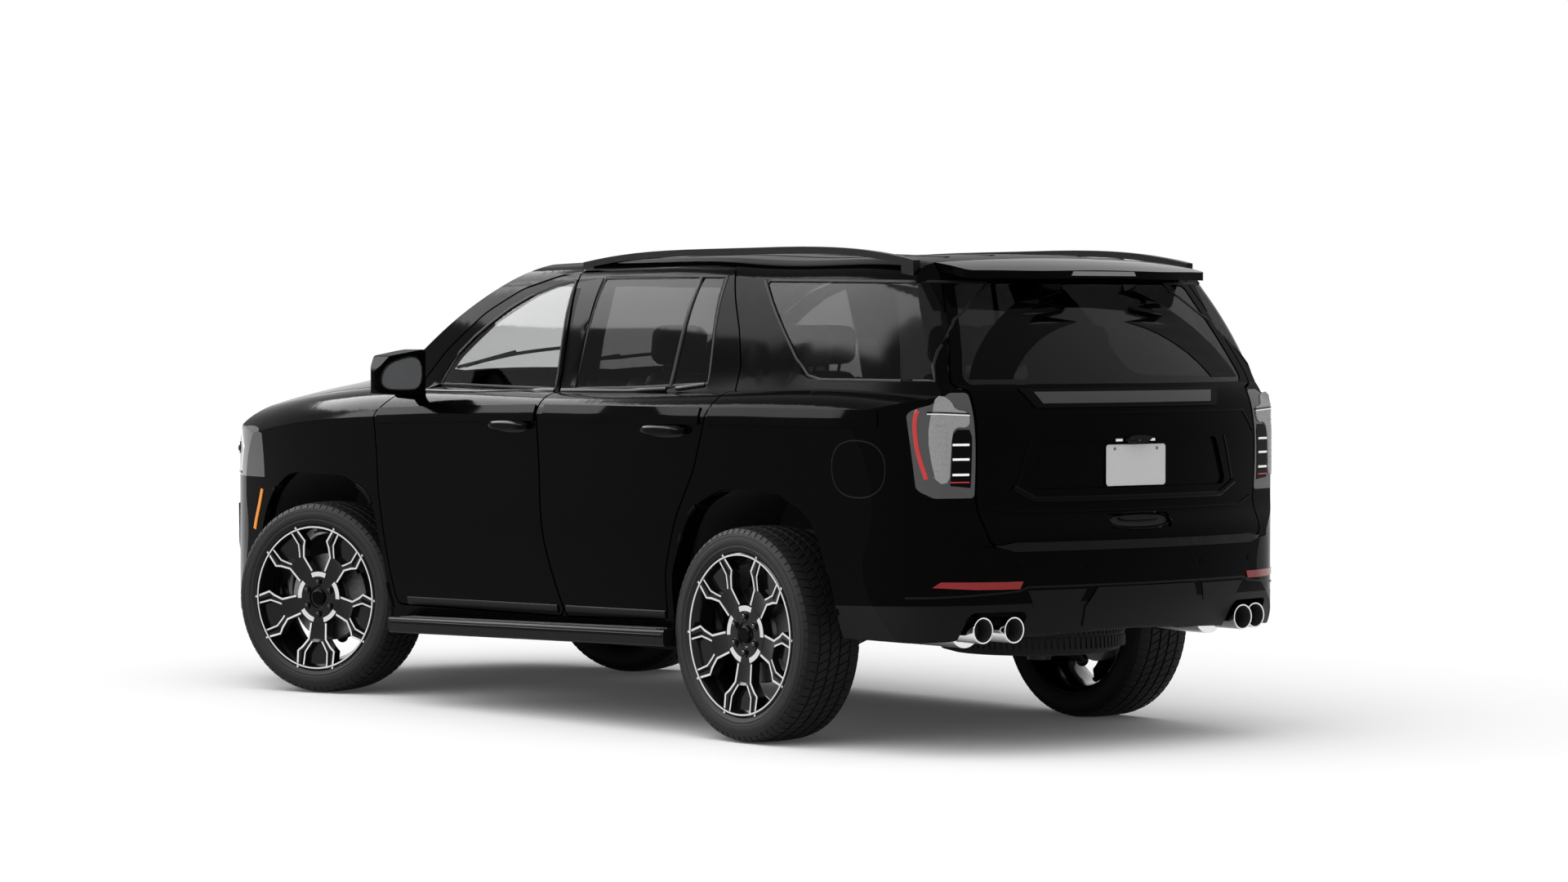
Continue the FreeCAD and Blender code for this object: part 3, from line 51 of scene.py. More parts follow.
def add_node(tree, kind, **inputs):
    """New shader node with some inputs set; an underscore stands for the space in a socket's name."""
    new = tree.nodes.new("ShaderNode" + kind)
    for name, value in inputs.items():
        new.inputs[name.replace("_", " ")].default_value = value
    return new


def add_noise(tree, scale, detail):
    """Socket with cloudy noise in the object's own coordinates."""
    place = add_node(tree, "TexCoord")
    cloud = add_node(tree, "TexNoise", Scale=scale, Detail=detail)
    tree.links.new(place.outputs["Object"], cloud.inputs["Vector"])
    return cloud.outputs["Fac"]


def add_math(tree, operation, *values):
    """Socket with the result of a Math node on sockets or plain numbers."""
    new = add_node(tree, "Math")
    new.operation = operation
    for socket, value in zip(new.inputs, values):
        if isinstance(value, float):
            socket.default_value = value
        else:
            tree.links.new(value, socket)
    return new.outputs["Value"]


def vary(tree, socket, middle, spread, scale):
    """Lets a roughness wander about its middle value."""
    span = add_node(tree, "MapRange", To_Min=max(0.0, middle - spread), To_Max=middle + spread)
    tree.links.new(add_noise(tree, scale, HAZE_DETAIL), span.inputs["Value"])
    tree.links.new(span.outputs["Result"], socket)


def material(name, colour, roughness, metallic=0.0, noise=0.1, scale=60.0, bump=0.0, bump_scale=300.0,
             specular=0.5, emission=None, strength=0.0, rough_noise=0.0):
    """Principled finish with fine noise in its colour, roughness and relief."""
    made = bpy.data.materials.new(name)
    made.use_nodes = True
    tree = made.node_tree
    shader = tree.nodes["Principled BSDF"]
    settings = {"Base Color": (*colour, 1), "Roughness": roughness, "Metallic": metallic,
                "Specular IOR Level": specular}
    if emission:
        settings |= {"Emission Color": (*emission, 1), "Emission Strength": strength}
    for socket, value in settings.items():
        shader.inputs[socket].default_value = value
    ramp = add_node(tree, "ValToRGB")
    for stop, place, share in zip(ramp.color_ramp.elements, (RAMP_LOW, RAMP_HIGH), (1 - noise, 1 + noise)):
        stop.position = place
        stop.color = (*[min(1, c * share) for c in colour], 1)
    tree.links.new(add_noise(tree, scale, CLOUD_DETAIL), ramp.inputs["Fac"])
    tree.links.new(ramp.outputs["Color"], shader.inputs["Base Color"])
    if rough_noise:
        vary(tree, shader.inputs["Roughness"], roughness, rough_noise, scale * HAZE_SCALE_SHARE)
    if bump:
        lift = add_node(tree, "Bump", Strength=bump, Distance=GRAIN_DEPTH)
        tree.links.new(add_noise(tree, bump_scale, GRAIN_DETAIL), lift.inputs["Height"])
        tree.links.new(lift.outputs["Normal"], shader.inputs["Normal"])
    return made


def glass_material(name, through, bend, roughness=0.06):
    """Tinted glass: a see-through layer under a glossy coat, weighted by the angle."""
    made = bpy.data.materials.new(name)
    made.use_nodes = True
    tree = made.node_tree
    tree.nodes.remove(tree.nodes["Principled BSDF"])
    gloss = add_node(tree, "BsdfGlossy", Roughness=roughness, Color=(0.9, 0.9, 0.9, 1))
    vary(tree, gloss.inputs["Roughness"], roughness, roughness * GLASS_HAZE_SHARE, GLASS_HAZE_SCALE)
    tint = add_node(tree, "BsdfTransparent", Color=(*through, 1))
    clear = add_node(tree, "BsdfTransparent")
    fresnel = add_node(tree, "Fresnel", IOR=bend)
    facing = add_node(tree, "NewGeometry")
    front, both = add_node(tree, "MixShader"), add_node(tree, "MixShader")
    # the tint and the gloss are on the face where light enters, and the far face lets it out
    for mix, weight, first, second in ((front, fresnel.outputs["Fac"], tint, gloss),
                                       (both, facing.outputs["Backfacing"], front, clear)):
        tree.links.new(weight, mix.inputs["Fac"])
        tree.links.new(first.outputs[0], mix.inputs[1])
        tree.links.new(second.outputs[0], mix.inputs[2])
    tree.links.new(both.outputs["Shader"], tree.nodes["Material Output"].inputs["Surface"])
    return made


paint = material("paint_black", (0.0011, 0.0011, 0.0012), 0.10, noise=0.15, scale=900, specular=0.018)
roof_paint = material("roof_paint", (0.0015, 0.0015, 0.0016), 0.30, noise=0.15, scale=900, specular=0.007)
gloss_black = material("gloss_black", (0.0013, 0.0013, 0.0014), 0.09, noise=0.15, scale=700, specular=0.035)
satin_black = material("satin_black", (0.0036, 0.0036, 0.0038), 0.36, noise=0.2, scale=500, bump=0.12,
                       bump_scale=1800, specular=0.07)
# grey of the liftgate bar's field: a painted highlight along the bar
bar_grey_painted_highlight = material("bar_grey_painted_highlight", (0.022, 0.022, 0.023), 0.30, noise=0.12, scale=300, specular=0.35)
matte_black = material("matte_black", (0.005, 0.005, 0.0052), 0.62, specular=0.15, noise=0.3, scale=200,
                       bump=0.3, bump_scale=900)
liner_black = material("liner_black", (0.003, 0.003, 0.003), 0.85, specular=0.1, noise=0.4, scale=90,
                       bump=0.6, bump_scale=260)
chrome = material("chrome", (0.75, 0.75, 0.76), 0.07, metallic=1.0, noise=0.03, scale=90, rough_noise=0.03)
dark_chrome = material("dark_chrome", (0.05, 0.05, 0.052), 0.2, metallic=0.8, noise=0.06, scale=90,
                       rough_noise=0.04)
machined = material("machined_aluminium", (0.62, 0.62, 0.63), 0.24, metallic=1.0, noise=0.06, scale=300,
                    rough_noise=0.06, bump=0.08, bump_scale=1600)
wheel_black = material("wheel_black", (0.003, 0.003, 0.0032), 0.12, noise=0.15, scale=600, specular=0.2)
steel = material("steel", (0.16, 0.16, 0.162), 0.42, metallic=1.0, noise=0.15, scale=80, rough_noise=0.1,
                 bump=0.2)
cast = material("cast_iron", (0.06, 0.06, 0.062), 0.6, metallic=0.7, noise=0.3, bump=0.5, bump_scale=220)
frame_paint = material("frame_paint", (0.008, 0.008, 0.0085), 0.5, noise=0.3, bump=0.3, bump_scale=150)
rubber = material("tyre_rubber", (0.0055, 0.0055, 0.0057), 0.62, specular=0.16, noise=0.25, scale=120,
                  bump=0.3, bump_scale=700)
leather = material("seat_leather", (0.012, 0.012, 0.013), 0.5, noise=0.25, bump=0.5, bump_scale=420)
cabin_plastic = material("cabin_plastic", (0.014, 0.014, 0.015), 0.6, noise=0.2, scale=90, bump=0.3,
                         bump_scale=900)
carpet = material("carpet", (0.010, 0.010, 0.0105), 0.95, noise=0.5, scale=260, bump=0.8, bump_scale=1400)
grey_plastic = material("tank_plastic", (0.02, 0.02, 0.021), 0.5, noise=0.2, bump=0.2)
amber = material("amber_lens", (0.85, 0.27, 0.015), 0.12, scale=300, specular=0.3)
lamp_red = material("red_lens", (0.34, 0.009, 0.011), 0.14, scale=400, emission=(0.6, 0.02, 0.02),
                    strength=0.18)
reflector_red = material("reflector_red", (0.20, 0.005, 0.006), 0.12, noise=0.2, scale=500, specular=0.3)
lamp_white = material("white_lens", (0.80, 0.80, 0.80), 0.2, noise=0.05, scale=300, emission=(1, 1, 1),
                      strength=0.2)
lamp_silver = material("silver_lens", (0.24, 0.24, 0.245), 0.16, metallic=0.4, noise=0.12, scale=160)
lamp_grey = material("smoke_lens", (0.16, 0.16, 0.165), 0.1, scale=300)
lamp_dark = material("dark_lens", (0.035, 0.035, 0.036), 0.06, noise=0.15, scale=300)
# the mirror glass is no mirror: its flat grey is a painted reflection
mirror_glass = material("mirror_glass", (0.12, 0.122, 0.125), 0.12, noise=0.03)
# near-black bores of the tail pipes: partly soot, partly painted shade deep in the pipe
pipe_dark = material("pipe_soot_and_shade", (0.010, 0.010, 0.010), 0.7, noise=0.4, scale=120, bump=0.3)
plate_white = material("plate_grey", (0.50, 0.50, 0.50), 0.35, noise=0.05, scale=200, bump=0.05)
privacy = glass_material("privacy_glass", (0.12, 0.12, 0.122), 1.14)
rear_privacy = glass_material("rear_privacy_glass", (0.07, 0.07, 0.072), 1.27)
clear_glass = glass_material("clear_glass", (0.66, 0.665, 0.665), 1.2)

# Finishes of the CAD nodes; the other nodes are tyres and wheels
NODE_FINISHES = (
    (paint, "body_sides front_fenders front_bumper hood rear_bumper liftgate front_door_left "
            "front_door_right rear_door_left rear_door_right"),
    (roof_paint, "roof_panel mirror_left mirror_right"),
    (satin_black, "rear_valance roof_rails running_boards"),
    (gloss_black, "grille"),
    (lamp_dark, "headlamps tail_lamps"),
    (clear_glass, "windshield front_door_glass_left front_door_glass_right"),
    (privacy, "quarter_glass rear_door_glass_left rear_door_glass_right"),
    (rear_privacy, "liftgate_glass"),
    (cast, "engine_block knuckle_left knuckle_right"),
    (steel, "driveline"),
    (frame_paint, "suspension chassis_frame"),
    (chrome, "exhaust"),
    (grey_plastic, "fuel_tank"),
    (rubber, "spare_wheel"),
    (cabin_plastic, "dashboard"),
    (leather, "seats steering_wheel"),
    (carpet, "floor_pan"),
)
finish_of = {name: finish for finish, names in NODE_FINISHES for name in names.split()}
for name, node in nodes.items():
    node.data.materials.clear()
    node.data.materials.append(finish_of.get(name, rubber if name.startswith("tyre") else wheel_black))

# Mesh kit
BODY_OF = {"hood": "hood", "liftgate": "liftgate", "liftgate_glass": "liftgate"}
for side in ("left", "right"):
    for end in ("front", "rear"):
        BODY_OF[f"{end}_door_{side}"] = f"{end}_door_{side}"
        BODY_OF[f"{end}_door_glass_{side}"] = f"{end}_door_{side}"
    BODY_OF[f"mirror_{side}"] = f"front_door_{side}"
SIDES = (("left", 1), ("right", -1))
RAY_START = 6.0
NORMAL_SPREAD, NORMAL_REACH = 0.006, 4
LONGEST_STEP = 5
STRIP_SHOULDER_SHARE = 0.45
SINK = 0.004
GRID_CLEARANCE_SHARE = 0.4
MERGE_DISTANCE = 1e-6
STEER_AT_REST = 20.4


def mm(*points):
    """Points given in millimetres, in metres."""
    return [(a / 1000, b / 1000) for a, b in points]


def box_loop(half_width, low, high, middle=0.0):
    """Rectangle in millimetres seen from behind or from the front, in metres."""
    left, right = middle + half_width, middle - half_width
    return mm((left, low), (left, high), (right, high), (right, low))


def mirrored(loop, flip, closed=True):
    """Outline as drawn for the left half, or turned over for the right half."""
    new = [(p[0] * flip, p[1]) for p in loop]
    return new[::-1] if flip < 0 and closed else new


def round_points(count, radius_u, radius_v):
    """Points (u, v) of an ellipse round the origin."""
    turns = [FULL_TURN * k / count for k in range(count)]
    return [(radius_u * math.cos(a), radius_v * math.sin(a)) for a in turns]


def plate_faces(faces, number):
    """Faces of a plate whose underside has the same points as its top, counted on from number."""
    edges = dict.fromkeys((face[k], face[(k + 1) % len(face)]) for face in faces for k in range(len(face)))
    rim = [(a, b) for a, b in edges if (b, a) not in edges]
    return ([list(face) for face in faces] + [[i + number for i in face][::-1] for face in faces]
            + [[a, a + number, b + number, b] for a, b in rim])


class Shape:
    """Points and faces of one piece, each face with the number of its finish."""

    def __init__(self):
        self.points, self.faces, self.finish = [], [], []

    def add(self, points, faces, finish=0):
        base = len(self.points)
        self.points += [Vector(p) for p in points]
        self.faces += [[base + i for i in face] for face in faces]
        self.finish += [finish] * len(faces)
        return self

    def join(self, other, matrix=None):
        base = len(self.points)
        self.points += [matrix @ p if matrix else p for p in other.points]
        self.faces += [[base + i for i in face] for face in other.faces]
        self.finish += other.finish
        return self

    def rings(self, rings, finish=0, loop=False):
        """Skin over closed rings of the same number of points, capped unless the rings close up."""
        count, wide = len(rings), len(rings[0])
        faces = []
        for i in range(count if loop else count - 1):
            j = (i + 1) % count
            for k in range(wide):
                m = (k + 1) % wide
                faces.append([i * wide + k, i * wide + m, j * wide + m, j * wide + k])
        if not loop:
            faces.append(list(range(wide))[::-1])
            faces.append([(count - 1) * wide + k for k in range(wide)])
        return self.add([p for ring in rings for p in ring], faces, finish)

    def lathe(self, profile, count, finish=0):
        """Profile of (place along y, radius) turned about the y axis."""
        turns = [FULL_TURN * i / count for i in range(count)]
        rings = [[(r * math.cos(a), y, r * math.sin(a)) for y, r in profile] for a in turns]
        return self.rings(rings, finish, loop=True)

    def tube(self, path, radius, count=10, finish=0, loop=False):
        """Round bar along a path."""
        path = [Vector(p) for p in path]
        rings, side = [], None
        for i, p in enumerate(path):
            a = path[i - 1] if i or loop else path[0]
            b = path[(i + 1) % len(path)] if i < len(path) - 1 or loop else path[-1]
            along = (b - a).normalized()
            side = side or along.orthogonal().normalized()
            side = (side - along * side.dot(along)).normalized()
            up = along.cross(side)
            rings.append([p + side * u + up * v for u, v in round_points(count, radius, radius)])
        return self.rings(rings, finish, loop=loop)

    def make(self, name, body, finishes, matrix=None, replace=(), sharp=32, slot=None):
        """Puts the piece into the scene on its body."""
        mesh = bpy.data.meshes.new(name)
        mesh.from_pydata([tuple(p) for p in self.points], [], self.faces)
        for finish in finishes:
            mesh.materials.append(finish)
        mesh.polygons.foreach_set("material_index", self.finish)
        work = bmesh.new()
        work.from_mesh(mesh)
        bmesh.ops.recalc_face_normals(work, faces=work.faces)
        work.to_mesh(mesh)
        work.free()
        mesh.shade_smooth()
        mesh.set_sharp_from_angle(angle=math.radians(sharp))
        piece = bpy.data.objects.new(name, mesh)
        if matrix is not None:
            piece.matrix_world = matrix
        bpy.context.scene.collection.objects.link(piece)
        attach(piece, body)
        if replace:
            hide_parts(*replace)
        return piece


class Skin:
    """Outer faces of some CAD nodes seen from one side, and the body of the pieces on them, or None."""

    def __init__(self, way, body, *names):
        self.way, self.body = way, body
        self.owner, points, faces = [], [], []
        for name in names:
            mesh, place, base = nodes[name].data, nodes[name].matrix_world, len(points)
            points += [place @ v.co for v in mesh.vertices]
            for face in mesh.polygons:
                faces.append([base + i for i in face.vertices])
                self.owner.append(name)
        self.tree = BVHTree.FromPolygons(points, faces)

    def ray(self, u, v):
        """Start and direction of the ray at (u, v)."""
        start, along = {"left": ((u, RAY_START, v), (0, -1, 0)), "right": ((u, -RAY_START, v), (0, 1, 0)),
                        "rear": ((-RAY_START, u, v), (1, 0, 0)), "front": ((RAY_START, u, v), (-1, 0, 0)),
                        "top": ((u, v, RAY_START), (0, 0, -1))}[self.way]
        return Vector(start), Vector(along)

    def land(self, u, v):
        """Point, mean normal and owner where the ray meets the skin."""
        start, along = self.ray(u, v)
        point, normal, face, _ = self.tree.ray_cast(start, along)
        if point is None:
            return None, -along, None
        total = -normal if normal.dot(along) > 0 else normal.copy()
        spread = NORMAL_SPREAD
        for du, dv in ((spread, 0), (-spread, 0), (0, spread), (0, -spread)):
            start, along = self.ray(u + du, v + dv)
            near, other, _, _ = self.tree.ray_cast(start, along)
            if near is not None and (near - point).length < NORMAL_REACH * spread:
                total += other if other.dot(along) < 0 else -other
        return point, total.normalized(), self.owner[face]


def finely(path, step, loop=False):
    """Path with points about a step apart, corners kept."""
    out = []
    count = len(path)
    for i in range(count if loop else count - 1):
        a, b = Vector(path[i]), Vector(path[(i + 1) % count])
        n = max(1, round((b - a).length / step))
        out += [a + (b - a) * (k / n) for k in range(n)]
    return out if loop else out + [Vector(path[-1])]


def rounded(path, times=2, loop=True):
    """Corners cut, so that the path turns softly."""
    near, far = 0.75, 0.25
    for _ in range(times):
        new = [] if loop else [Vector(path[0])]
        count = len(path)
        for i in range(count if loop else count - 1):
            a, b = Vector(path[i]), Vector(path[(i + 1) % count])
            new += [a * near + b * far, a * far + b * near]
        path = new if loop else new + [Vector(path[-1])]
    return path


def runs_on_skin(landed, body, step):
    """Stretches of landed points that lie on one body, without a jump."""
    runs = [[]]
    for point, normal, owner in landed:
        last = runs[-1][-1] if runs[-1] else None
        if point is None:
            runs.append([])
            continue
        if last and ((point - last[0]).length > LONGEST_STEP * step
                     or body is None and BODY_OF.get(owner, "body") != BODY_OF.get(last[2], "body")):
            runs.append([])
        runs[-1].append((point, normal, owner))
    return [run for run in runs if len(run) > 1]


def strip(name, skin, path, width, height, finish, loop=False, step=0.03, sink=SINK, body=None, crown=0.7):
    """Moulding laid on the skin along a path, split where the panel changes."""
    body, dense = body or skin.body, finely(path, step, loop)
    runs = runs_on_skin([skin.land(p[0], p[1]) for p in dense], body, step)
    whole = loop and len(runs) == 1 and len(runs[0]) == len(dense)
    left = ((-0.5, -sink), (-0.5, height * STRIP_SHOULDER_SHARE), (-0.5 * crown, height))
    section = left + tuple((-s, h) for s, h in left[::-1])
    by_body = {}
    for run in runs:
        last = len(run) - 1
        rings = []
        for i, (point, normal, _) in enumerate(run):
            a = run[i - 1][0] if i or whole else point
            b = run[(i + 1) % len(run)][0] if i < last or whole else point
            along = (b - a).normalized()
            mean = normal + run[max(i - 1, 0)][1] + run[min(i + 1, last)][1]
            mean = (mean - along * mean.dot(along)).normalized()
            across = along.cross(mean)
            rings.append([point + across * (width * s) + mean * h for s, h in section])
        by_body.setdefault(body or BODY_OF.get(run[0][2], "body"), Shape()).rings(rings, loop=whole)
    for home, shape in by_body.items():
        shape.make(name if len(by_body) == 1 else f"{name}_{home}", home, [finish], sharp=50)


def inside(point, loop):
    """Whether the point lies inside the outline."""
    hit = False
    for a, b in zip(loop, [loop[-1], *loop[:-1]]):
        if (a[1] > point[1]) != (b[1] > point[1]):
            hit ^= point[0] < (b[0] - a[0]) * (point[1] - a[1]) / (b[1] - a[1]) + a[0]
    return hit


def flat_fill(loops, step):
    """Triangles inside the first loop, with the other loops as edges in it, and each point's loop."""
    points, edges, which = [], [], []
    for number, loop in enumerate(loops):
        base, count = len(points), len(loop)
        points += [Vector((p[0], p[1])) for p in loop]
        edges += [(base + i, base + (i + 1) % count) for i in range(count)]
        which += [number] * count
    if step:
        outer = points[:len(loops[0])]
        low = [min(p[i] for p in loops[0]) for i in (0, 1)]
        high = [max(p[i] for p in loops[0]) for i in (0, 1)]
        columns, rows = (int((high[i] - low[i]) / step) for i in (0, 1))
        for i in range(1, columns + 1):
            for j in range(1, rows + 1):
                spot = (low[0] + i * step, low[1] + j * step)
                gap = min((Vector(spot) - q).length for q in outer)
                if gap > step * GRID_CLEARANCE_SHARE and inside(spot, loops[0]):
                    points.append(Vector(spot))
                    which.append(-1)
    verts, _, faces, origin, _, _ = delaunay_2d_cdt(points, edges, [], 1, MERGE_DISTANCE)
    return verts, faces, [which[o[0]] if o else -1 for o in origin]


def patch(name, skin, loop, thick, finish, step=0.025, body=None):
    """Closed plate laid on the skin inside an outline."""
    verts, faces, _ = flat_fill([finely(loop, step, True)], step)
    landed = [skin.land(v[0], v[1]) for v in verts]
    known = [i for i, spot in enumerate(landed) if spot[0] is not None]
    points, ups = [], []
    for i, (point, normal, _) in enumerate(landed):
        if point is None:
            near = min(known, key=lambda k: (verts[k] - verts[i]).length)
            start, along = skin.ray(verts[i][0], verts[i][1])
            point, normal = start + along * (landed[near][0] - start).dot(along), landed[near][1]
        points.append(point)
        ups.append(normal)
    owners = [landed[i][2] for i in known]
    home = body or skin.body or BODY_OF.get(max(owners, key=owners.count), "body")
    top = [p + n * thick for p, n in zip(points, ups)]
    low = [p - n * SINK for p, n in zip(points, ups)]
    Shape().add(top + low, plate_faces(faces, len(points))).make(name, home, [finish], sharp=40)


def stud(name, skin, u, v, profile, count, finish):
    """Small turned piece that stands on the skin."""
    point, normal, _ = skin.land(u, v)
    if point is not None:
        turn = normal.to_track_quat("Y", "Z").to_matrix().to_4x4()
        Shape().lathe(profile, count).make(name, "body", [finish], Matrix.Translation(point) @ turn)


def wheel_frame(tyre):
    """Frame of a wheel from its tyre: x forward, y outward along the axle, z up."""
    mesh, place = nodes[tyre].data, nodes[tyre].matrix_world
    points = [place @ v.co for v in mesh.vertices]
    low = Vector([min(p[i] for p in points) for i in range(3)])
    high = Vector([max(p[i] for p in points) for i in range(3)])
    turn = math.radians(STEER_AT_REST) if "front" in tyre else 0.0
    if "right" in tyre:
        turn += math.pi
    return Matrix.Translation((low + high) / 2) @ Matrix.Rotation(turn, 4, "Z")


# Wheels and tyres. Profiles are (place along the axle, radius); outlines on the face are (radius, sideways)
FACE_PLACE, DISH_START, DISH_WIDTH, DISH_RISE = 0.104, 0.110, 0.190, 0.026
SPOKES, LUGS, LUG_CIRCLE = 5, 6, 0.070
BLACK, BRIGHT, GLOSS, DARK, DISC = range(5)
BARREL = [(0.134, 0.305), (0.1345, 0.3135), (0.131, 0.318), (0.122, 0.312), (0.09, 0.300), (0.06, 0.284),
          (-0.03, 0.284), (-0.10, 0.300), (-0.122, 0.312), (-0.131, 0.318), (-0.134, 0.312), (-0.128, 0.304),
          (-0.100, 0.290), (-0.03, 0.274), (0.055, 0.274), (0.098, 0.290), (0.122, 0.299)]
LIP_RING = [(0.1335, 0.3055), (0.1355, 0.3065), (0.1355, 0.3125), (0.1335, 0.3135)]
SPOKE_EDGE = [(0.100, 0.040), (0.113, 0.044), (0.183, 0.050), (0.215, 0.078), (0.234, 0.101), (0.309, 0.098)]
POCKET_EDGE = [(0.309, 0.060), (0.242, 0.056), (0.213, 0.037), (0.196, 0.024)]
POCKET_FLOOR = [(0.305, 0.052), (0.245, 0.048), (0.218, 0.031), (0.205, 0.020)]
TROUGH = [(0.120, 0.022), (0.180, 0.026), (0.190, 0.012)]
SPOKE_DROPS = {0: 0.0, 1: 0.0, 2: -0.024, 3: -0.004}
SPOKE_DEPTH = 0.040
GROOVE = [(0.232, 0.077), (0.300, 0.079)]
# edges of a spoke that carry a ribbon: path, width, lower and upper level, finish
RIBBONS = ((SPOKE_EDGE[1:], 0.0085, -0.004, 0.0012, BRIGHT), (POCKET_EDGE, 0.0065, -0.004, 0.0012, BRIGHT),
           (GROOVE, 0.010, -0.003, 0.0005, GLOSS))
WEB_TURNS = (-21, -14, -7, 0, 7, 14, 21)
WEB = [(0.092, -0.004), (0.092, 0.0012), (0.1125, 0.0012), (0.1125, -0.004)]
HUB = [(0.1045, 0.0), (0.1045, 0.034), (0.098, 0.037), (0.0975, 0.046), (0.1035, 0.050), (0.1042, 0.104),
       (0.1035, 0.1135), (0.060, 0.1135), (0.050, 0.080), (0.020, 0.075), (0.020, 0.0)]
CAP = [(0.098, 0.0), (0.1115, 0.0), (0.1115, 0.028), (0.109, 0.0325), (0.098, 0.034)]
LUG_CUP = [(0.1030, 0.011), (0.1050, 0.012), (0.1062, 0.0155), (0.1050, 0.0185), (0.1030, 0.0195)]
LUG_NUT = [(0.100, 0.0), (0.1175, 0.0), (0.1175, 0.0065), (0.1150, 0.0098), (0.100, 0.0098)]
BRAKE_DISC = [(0.004, 0.110), (0.004, 0.189), (0.006, 0.191), (0.030, 0.191), (0.032, 0.189), (0.032, 0.112),
              (0.050, 0.098), (0.060, 0.095), (0.060, 0.060), (0.012, 0.060), (0.012, 0.110)]
VALVE, VALVE_RADIUS = [(0, 0.105, 0.290), (0, 0.135, 0.284)], 0.0035
CARCASS = [(0.124, 0.318), (0.131, 0.322), (0.135, 0.332), (0.1385, 0.336), (0.1395, 0.341), (0.1385, 0.3435),
            (0.1405, 0.350), (0.1425, 0.362), (0.1415, 0.374), (0.1385, 0.386), (0.1385, 0.3885),
            (0.1340, 0.396), (0.1270, 0.4045), (0.1180, 0.4095), (0.100, 0.4112), (0.0, 0.4125),
            (-0.100, 0.4112), (-0.1180, 0.4095), (-0.1270, 0.4045), (-0.1340, 0.396), (-0.1415, 0.374),
            (-0.1425, 0.362), (-0.1385, 0.341), (-0.131, 0.322), (-0.124, 0.318), (-0.110, 0.320),
            (-0.120, 0.372), (-0.100, 0.396), (0.100, 0.396), (0.120, 0.372), (0.110, 0.320)]
# tread ribs: inner and outer edge along the axle, slant as a share of the pitch
TREAD_RIBS = ((-0.1285, -0.0800, -0.25), (-0.0700, -0.0290, 0.55), (-0.0190, 0.0190, 0.85),
              (0.0290, 0.0700, 0.55), (0.0800, 0.1285, -0.25))
BLOCKS, BLOCK_SHARE, RIB_SHIFT_SHARE, SHOULDER_SHARE = 72, 0.86, 0.37, 0.80
BLOCK_DEPTH, SHOULDER_LEAD = 0.0085, 0.004
TYRE_RADIUS, CROWN_DROP, CROWN_PLACE, EDGE_PLACE, EDGE_SLOPE = 0.419, 0.0025, 0.08, 0.108, 0.32
SHOULDER_RIB = [(0.1265, 0.4095), (0.1310, 0.4045), (0.1385, 0.3925), (0.1370, 0.3915), (0.1280, 0.4010),
                (0.1240, 0.4075)]
WALL_RINGS = ((0.352, 0.1412), (0.380, 0.1405))
RING_FOOT, RING_RISE, RING_FOOT_HALF, RING_TOP_HALF = 0.002, 0.0006, 0.0012, 0.0006
BARREL_STEPS, HUB_STEPS, CAP_STEPS, CUP_STEPS, TYRE_STEPS = 80, 60, 40, 20, 96


def both_edges(edge):
    """Closed outline from the edge on one side of a spoke."""
    return edge + [(r, -t) for r, t in edge[::-1]]


def wheel_face(r):
    """Place of the wheel's dished face at a radius."""
    return FACE_PLACE + max(0.0, r - DISH_START) / DISH_WIDTH * DISH_RISE


def on_spoke(points, turn):
    """Points (radius, sideways, up from the face) of a spoke, turned about the axle."""
    out = []
    for r, t, h in points:
        x, z = r * math.sin(turn) + t * math.cos(turn), -r * math.cos(turn) + t * math.sin(turn)
        out.append((x, wheel_face(math.hypot(r, t)) + h, z))
    return out


def ribbon(path, wide, turn, low, high):
    """Rings of a ribbon on a spoke, its width to the left of the way the path runs."""
    rings = []
    for i, p in enumerate(path):
        along = (Vector(path[min(i + 1, len(path) - 1)]) - Vector(path[max(i - 1, 0)])).normalized()
        p = Vector(p)
        q = p + Vector((-along.y, along.x)) * wide
        section = [(p.x, p.y, low), (p.x, p.y, high), (q.x, q.y, high), (q.x, q.y, low)]
        rings.append(on_spoke(section, turn))
    return rings


def add_spoke(shape, turn):
    """One spoke with its pocket, bright edges and the bright web beside it."""
    outlines = [both_edges(edge) for edge in (SPOKE_EDGE, POCKET_EDGE, POCKET_FLOOR, TROUGH)]
    verts, faces, tags = flat_fill(outlines, 0)
    top = [(v[0], v[1], SPOKE_DROPS.get(tag, 0.0)) for v, tag in zip(verts, tags)]
    under = [(v[0], v[1], -SPOKE_DEPTH) for v in verts]
    shape.add(on_spoke(top + under, turn), plate_faces(faces, len(top)), BLACK)
    for flip in (1, -1):
        for path, wide, low, high, finish in RIBBONS:
            edge = [(r, t * flip) for r, t in path]
            shape.rings(ribbon(edge, -wide * flip, turn, low, high), finish)
    rings = []
    for degrees in WEB_TURNS:
        a = turn + math.pi / SPOKES + math.radians(degrees)
        rings.append([(r * math.sin(a), wheel_face(r) + h, -r * math.cos(a)) for r, h in WEB])
    shape.rings(rings, BRIGHT)


def make_wheel_shape():
    """Rim, hub, blank cap, lug nuts, valve and brake disc."""
    shape = Shape()
    shape.lathe(BARREL, BARREL_STEPS, BLACK)
    shape.lathe(LIP_RING, BARREL_STEPS, BRIGHT)
    for k in range(SPOKES):
        add_spoke(shape, FULL_TURN * k / SPOKES)
    shape.lathe(HUB, HUB_STEPS, BLACK)
    shape.lathe(CAP, CAP_STEPS, GLOSS)
    for k in range(LUGS):
        a = math.pi * k / (LUGS / 2)
        place = Matrix.Translation((LUG_CIRCLE * math.sin(a), 0, LUG_CIRCLE * math.cos(a)))
        shape.join(Shape().lathe(LUG_CUP, CUP_STEPS, GLOSS), place)
        shape.join(Shape().lathe(LUG_NUT, LUGS, DARK), place)
    shape.lathe(BRAKE_DISC, HUB_STEPS, DISC)
    return shape.tube(VALVE, VALVE_RADIUS, 8, GLOSS)


